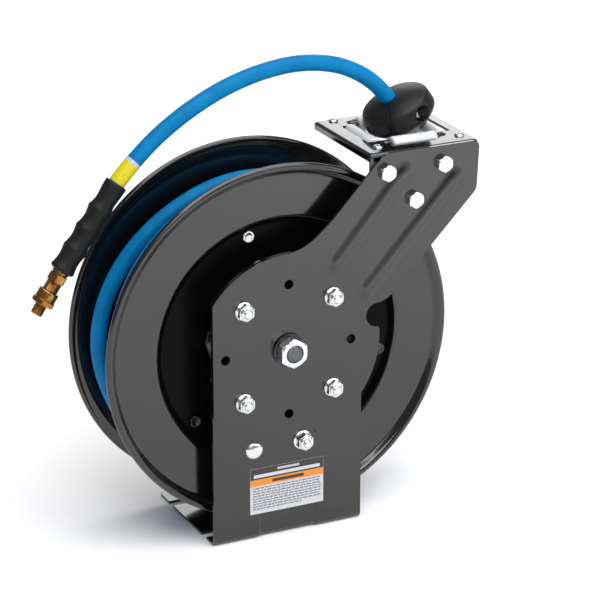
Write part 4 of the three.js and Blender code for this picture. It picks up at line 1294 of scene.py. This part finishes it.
# ---------- shaft ----------
def shaft():
    """The fixed shaft with its collars, the washer and nut on its threaded end, and its retaining ring."""
    r, bore = SHAFT_R, 4.5
    out = (0, -1, 0)
    solid = threaded(Solid(), (0, ARM_FRONT, 0), out, r, 1.5, -3, 15.75, chamfer=1.4, sides=72)
    make(solid, "shaft_thread", "frame", "steel", ["main_shaft"], 28)
    body = [
        (bore, -74), (r, -74), (r, POST_BACK), (17, POST_BACK), (17, POST_BACK + 5), (r, POST_BACK + 5),
        (r, -38), (13, -38), (13, -5), (r, -5), (r, 43.75), (9, 43.75), (9, 45.5), (r, 45.5), (r, 51),
        (8, 51), (8, 62), (bore, 62),
    ]
    make(turned(body, *SHAFT_LINE, 64, True), "shaft_body", "frame", "steel", sharp=35)
    washer = turned([(10.3, 0), (19, 0), (19, 2.5), (10.3, 2.5)], (0, ARM_FRONT, 0), out, 96, True)
    # The washer gets the darker zinc too: painted shade.
    paint(make(washer, "shaft_washer_zinc", "frame", "zinc", ["shaft_washer"], 35), VARIANT["painted_shade_zinc"])
    nut = hex_body(Solid(), (0, ARM_FRONT - 2.5, 0), out, 30, 13, top=True, bottom=True, bore=10.2)
    make(nut, "shaft_nut_zinc", "frame", "zinc", ["shaft_nut"], 28)
    ring = turned([(9.3, 44), (15, 44), (15, 45.25), (9.3, 45.25)], *SHAFT_LINE, 64, True, 0.3, 2)
    make(ring, "retaining_ring_steel", "frame", "steel", ["retaining_ring"], 35)


def inlet():
    """An elbow on the shaft's far end: a socket along the shaft, and a threaded stem that points down."""
    socket = [(8.2, 51.5), (11.5, 51.5), (11.5, 71, 2.5), (0, 71), (0, 62.2), (8.2, 62.2)]
    socket = turned(socket, *SHAFT_LINE, corner=0.6, steps=4)
    make(socket, "elbow_socket", "frame", "brass", ["inlet_elbow"], 35)
    bore, line = 4.5, ((0, 63, 0), (0, 0, -1))
    stem = turned([(bore, -2), (9.5, -2), (9.5, 20.5), (bore, 20.5)], *line, closed=True, corner=0.5)
    hex_body(stem, *line, 21, 11, top=True, bottom=True, bore=bore, start=20)
    pipe_thread(
        stem, *line, r=6.7, bore=bore, ends=(31, 44), lip=5.8, crests=(43.8, 31.2), cone=49.8,
        steps=80, sides=48,
    )
    make(stem, "elbow_stem", "frame", "brass", sharp=28)


# ---------- label ----------
def label():
    """A printed film: a dark head with a light strip, an orange band, and plain bars where text would be."""
    left, right, low, high = (LABEL[side] for side in ("left", "right", "low", "high"))
    width, height = right - left, high - low
    face = POST_FRONT - 0.02

    def along(part):
        return left + part * width

    def down(part):
        return high - part * height

    def patch(name, x0, x1, z0, z1, lift, look=None, nodes=()):
        outline = rounded([(x0, z0), (x1, z0), (x1, z1), (x0, z1)], 0.12 if look else 0.5, 3, True)
        film = prism(outline, face - lift - 0.06, face - lift + 0.02, in_xz)
        piece = make(film, name, "frame", "label", nodes, 40)
        if look:
            paint(piece, VARIANT[look])

    patch("label_film", left, right, low, high, 0.3, nodes=["data_label"])
    patch("label_head", left + 0.2, right - 0.2, down(0.245), high - 0.2, 0.36, "brown")
    patch("label_strip", along(0.05), along(0.95), down(0.21), down(0.14), 0.42)
    patch("label_band", left + 0.2, right - 0.2, down(0.39), down(0.245), 0.36, "orange")
    patch("label_title", along(0.37), along(0.67), down(0.095), down(0.05), 0.42, "white")
    patch("label_word", along(0.3), along(0.73), down(0.35), down(0.285), 0.42, "brown")
    bars = Solid()
    rows, thick, gap = 9, 1.4, 1.0
    for i in range(rows):
        z = down(0.45 + 0.057 * i)
        x = along(0.035)
        stop = along(0.965 if i < rows - 1 else 0.7)
        k = 0
        while x < stop - 2:
            end = min(x + 2.2 + 3.6 * (((i * 7 + k * 5) * 37 % 101) / 101), stop)
            corners = ((x, z), (end, z), (end, z + thick), (x, z + thick))
            bars.loft([[(a, y, b) for a, b in corners] for y in (face - 0.42, face - 0.36)])
            x = end + gap
            k += 1
    paint(make(bars, "label_bars", "frame", "label", sharp=40), VARIANT["grey"])


camera()
hose_outside()
winding()
hose_run()
stand()
guide_arm()
arm_fasteners()
bracket_bolts()
pawl_fasteners()
guide_bracket()
roller_keeper()
rollers()
guide_screws()
ball_stop()
drum()
ratchet()
pawl()
shaft()
inlet()
label()

# ---------- pieces kept as the frame has them ----------
slots = {part["node"]: part["material_slot"] for part in frame["record"]["subparts"]}
for node, piece in frame["nodes"].items():
    paint(piece, FINISH[slots[node]])


# ---------- floor and light ----------
MIDDLE = (0, 0, 0.25)
SOFT_BOXES = [  # name, place, what it points at, size and power
    ("key", (-1.0, -2.6, 2.4), MIDDLE, (1.4, 1.4), 30),
    ("front", (0.75, -1.45, 1.0), (0.75, -1.45, 0), (0.9, 0.9), 10),
    ("fill", (2.2, -1.4, 1.4), MIDDLE, (1.2, 1.6), 16),
    ("back", (1.4, 2.5, 1.5), (0.15, 0, 0.42), (1.7, 1.1), 13),
]
SUN = {"way": (-0.08, 0.22, -1), "energy": 3.0, "angle": 64}
SKY = 0.24


def floor():
    size = 30
    mesh = bpy.data.meshes.new("floor")
    corners = [(-size, -size, 0), (size, -size, 0), (size, size, 0), (-size, size, 0)]
    mesh.from_pydata(corners, [], [(0, 1, 2, 3)])
    ground = bpy.data.objects.new("floor", mesh)
    bpy.context.scene.collection.objects.link(ground)
    mesh.materials.append(Finish("floor", (0.86, 0.86, 0.87, 1), 0.9).material)


def hang(lamp, way):
    lamp = bpy.data.objects.new(lamp.name, lamp)
    bpy.context.scene.collection.objects.link(lamp)
    lamp.rotation_mode = "QUATERNION"
    lamp.rotation_quaternion = Vector(way).to_track_quat("-Z", "Y")
    return lamp


def studio():
    """A dim even sky, a wide soft sun from above, and four soft boxes. Plain colours, so no film curve."""
    bpy.context.scene.view_settings.view_transform = "Standard"
    world = bpy.data.worlds.new("studio")
    bpy.context.scene.world = world
    world.use_nodes = True
    sky = world.node_tree.nodes["Background"]
    sky.inputs["Color"].default_value = (1, 1, 1, 1)
    sky.inputs["Strength"].default_value = SKY
    sun = bpy.data.lights.new("sun", "SUN")
    sun.energy = SUN["energy"]
    sun.angle = math.radians(SUN["angle"])
    hang(sun, SUN["way"])
    for name, place, target, size, power in SOFT_BOXES:
        data = bpy.data.lights.new(name, "AREA")
        data.shape = "RECTANGLE"
        data.size, data.size_y = size
        data.energy = power
        hang(data, Vector(target) - Vector(place)).location = place


floor()
studio()
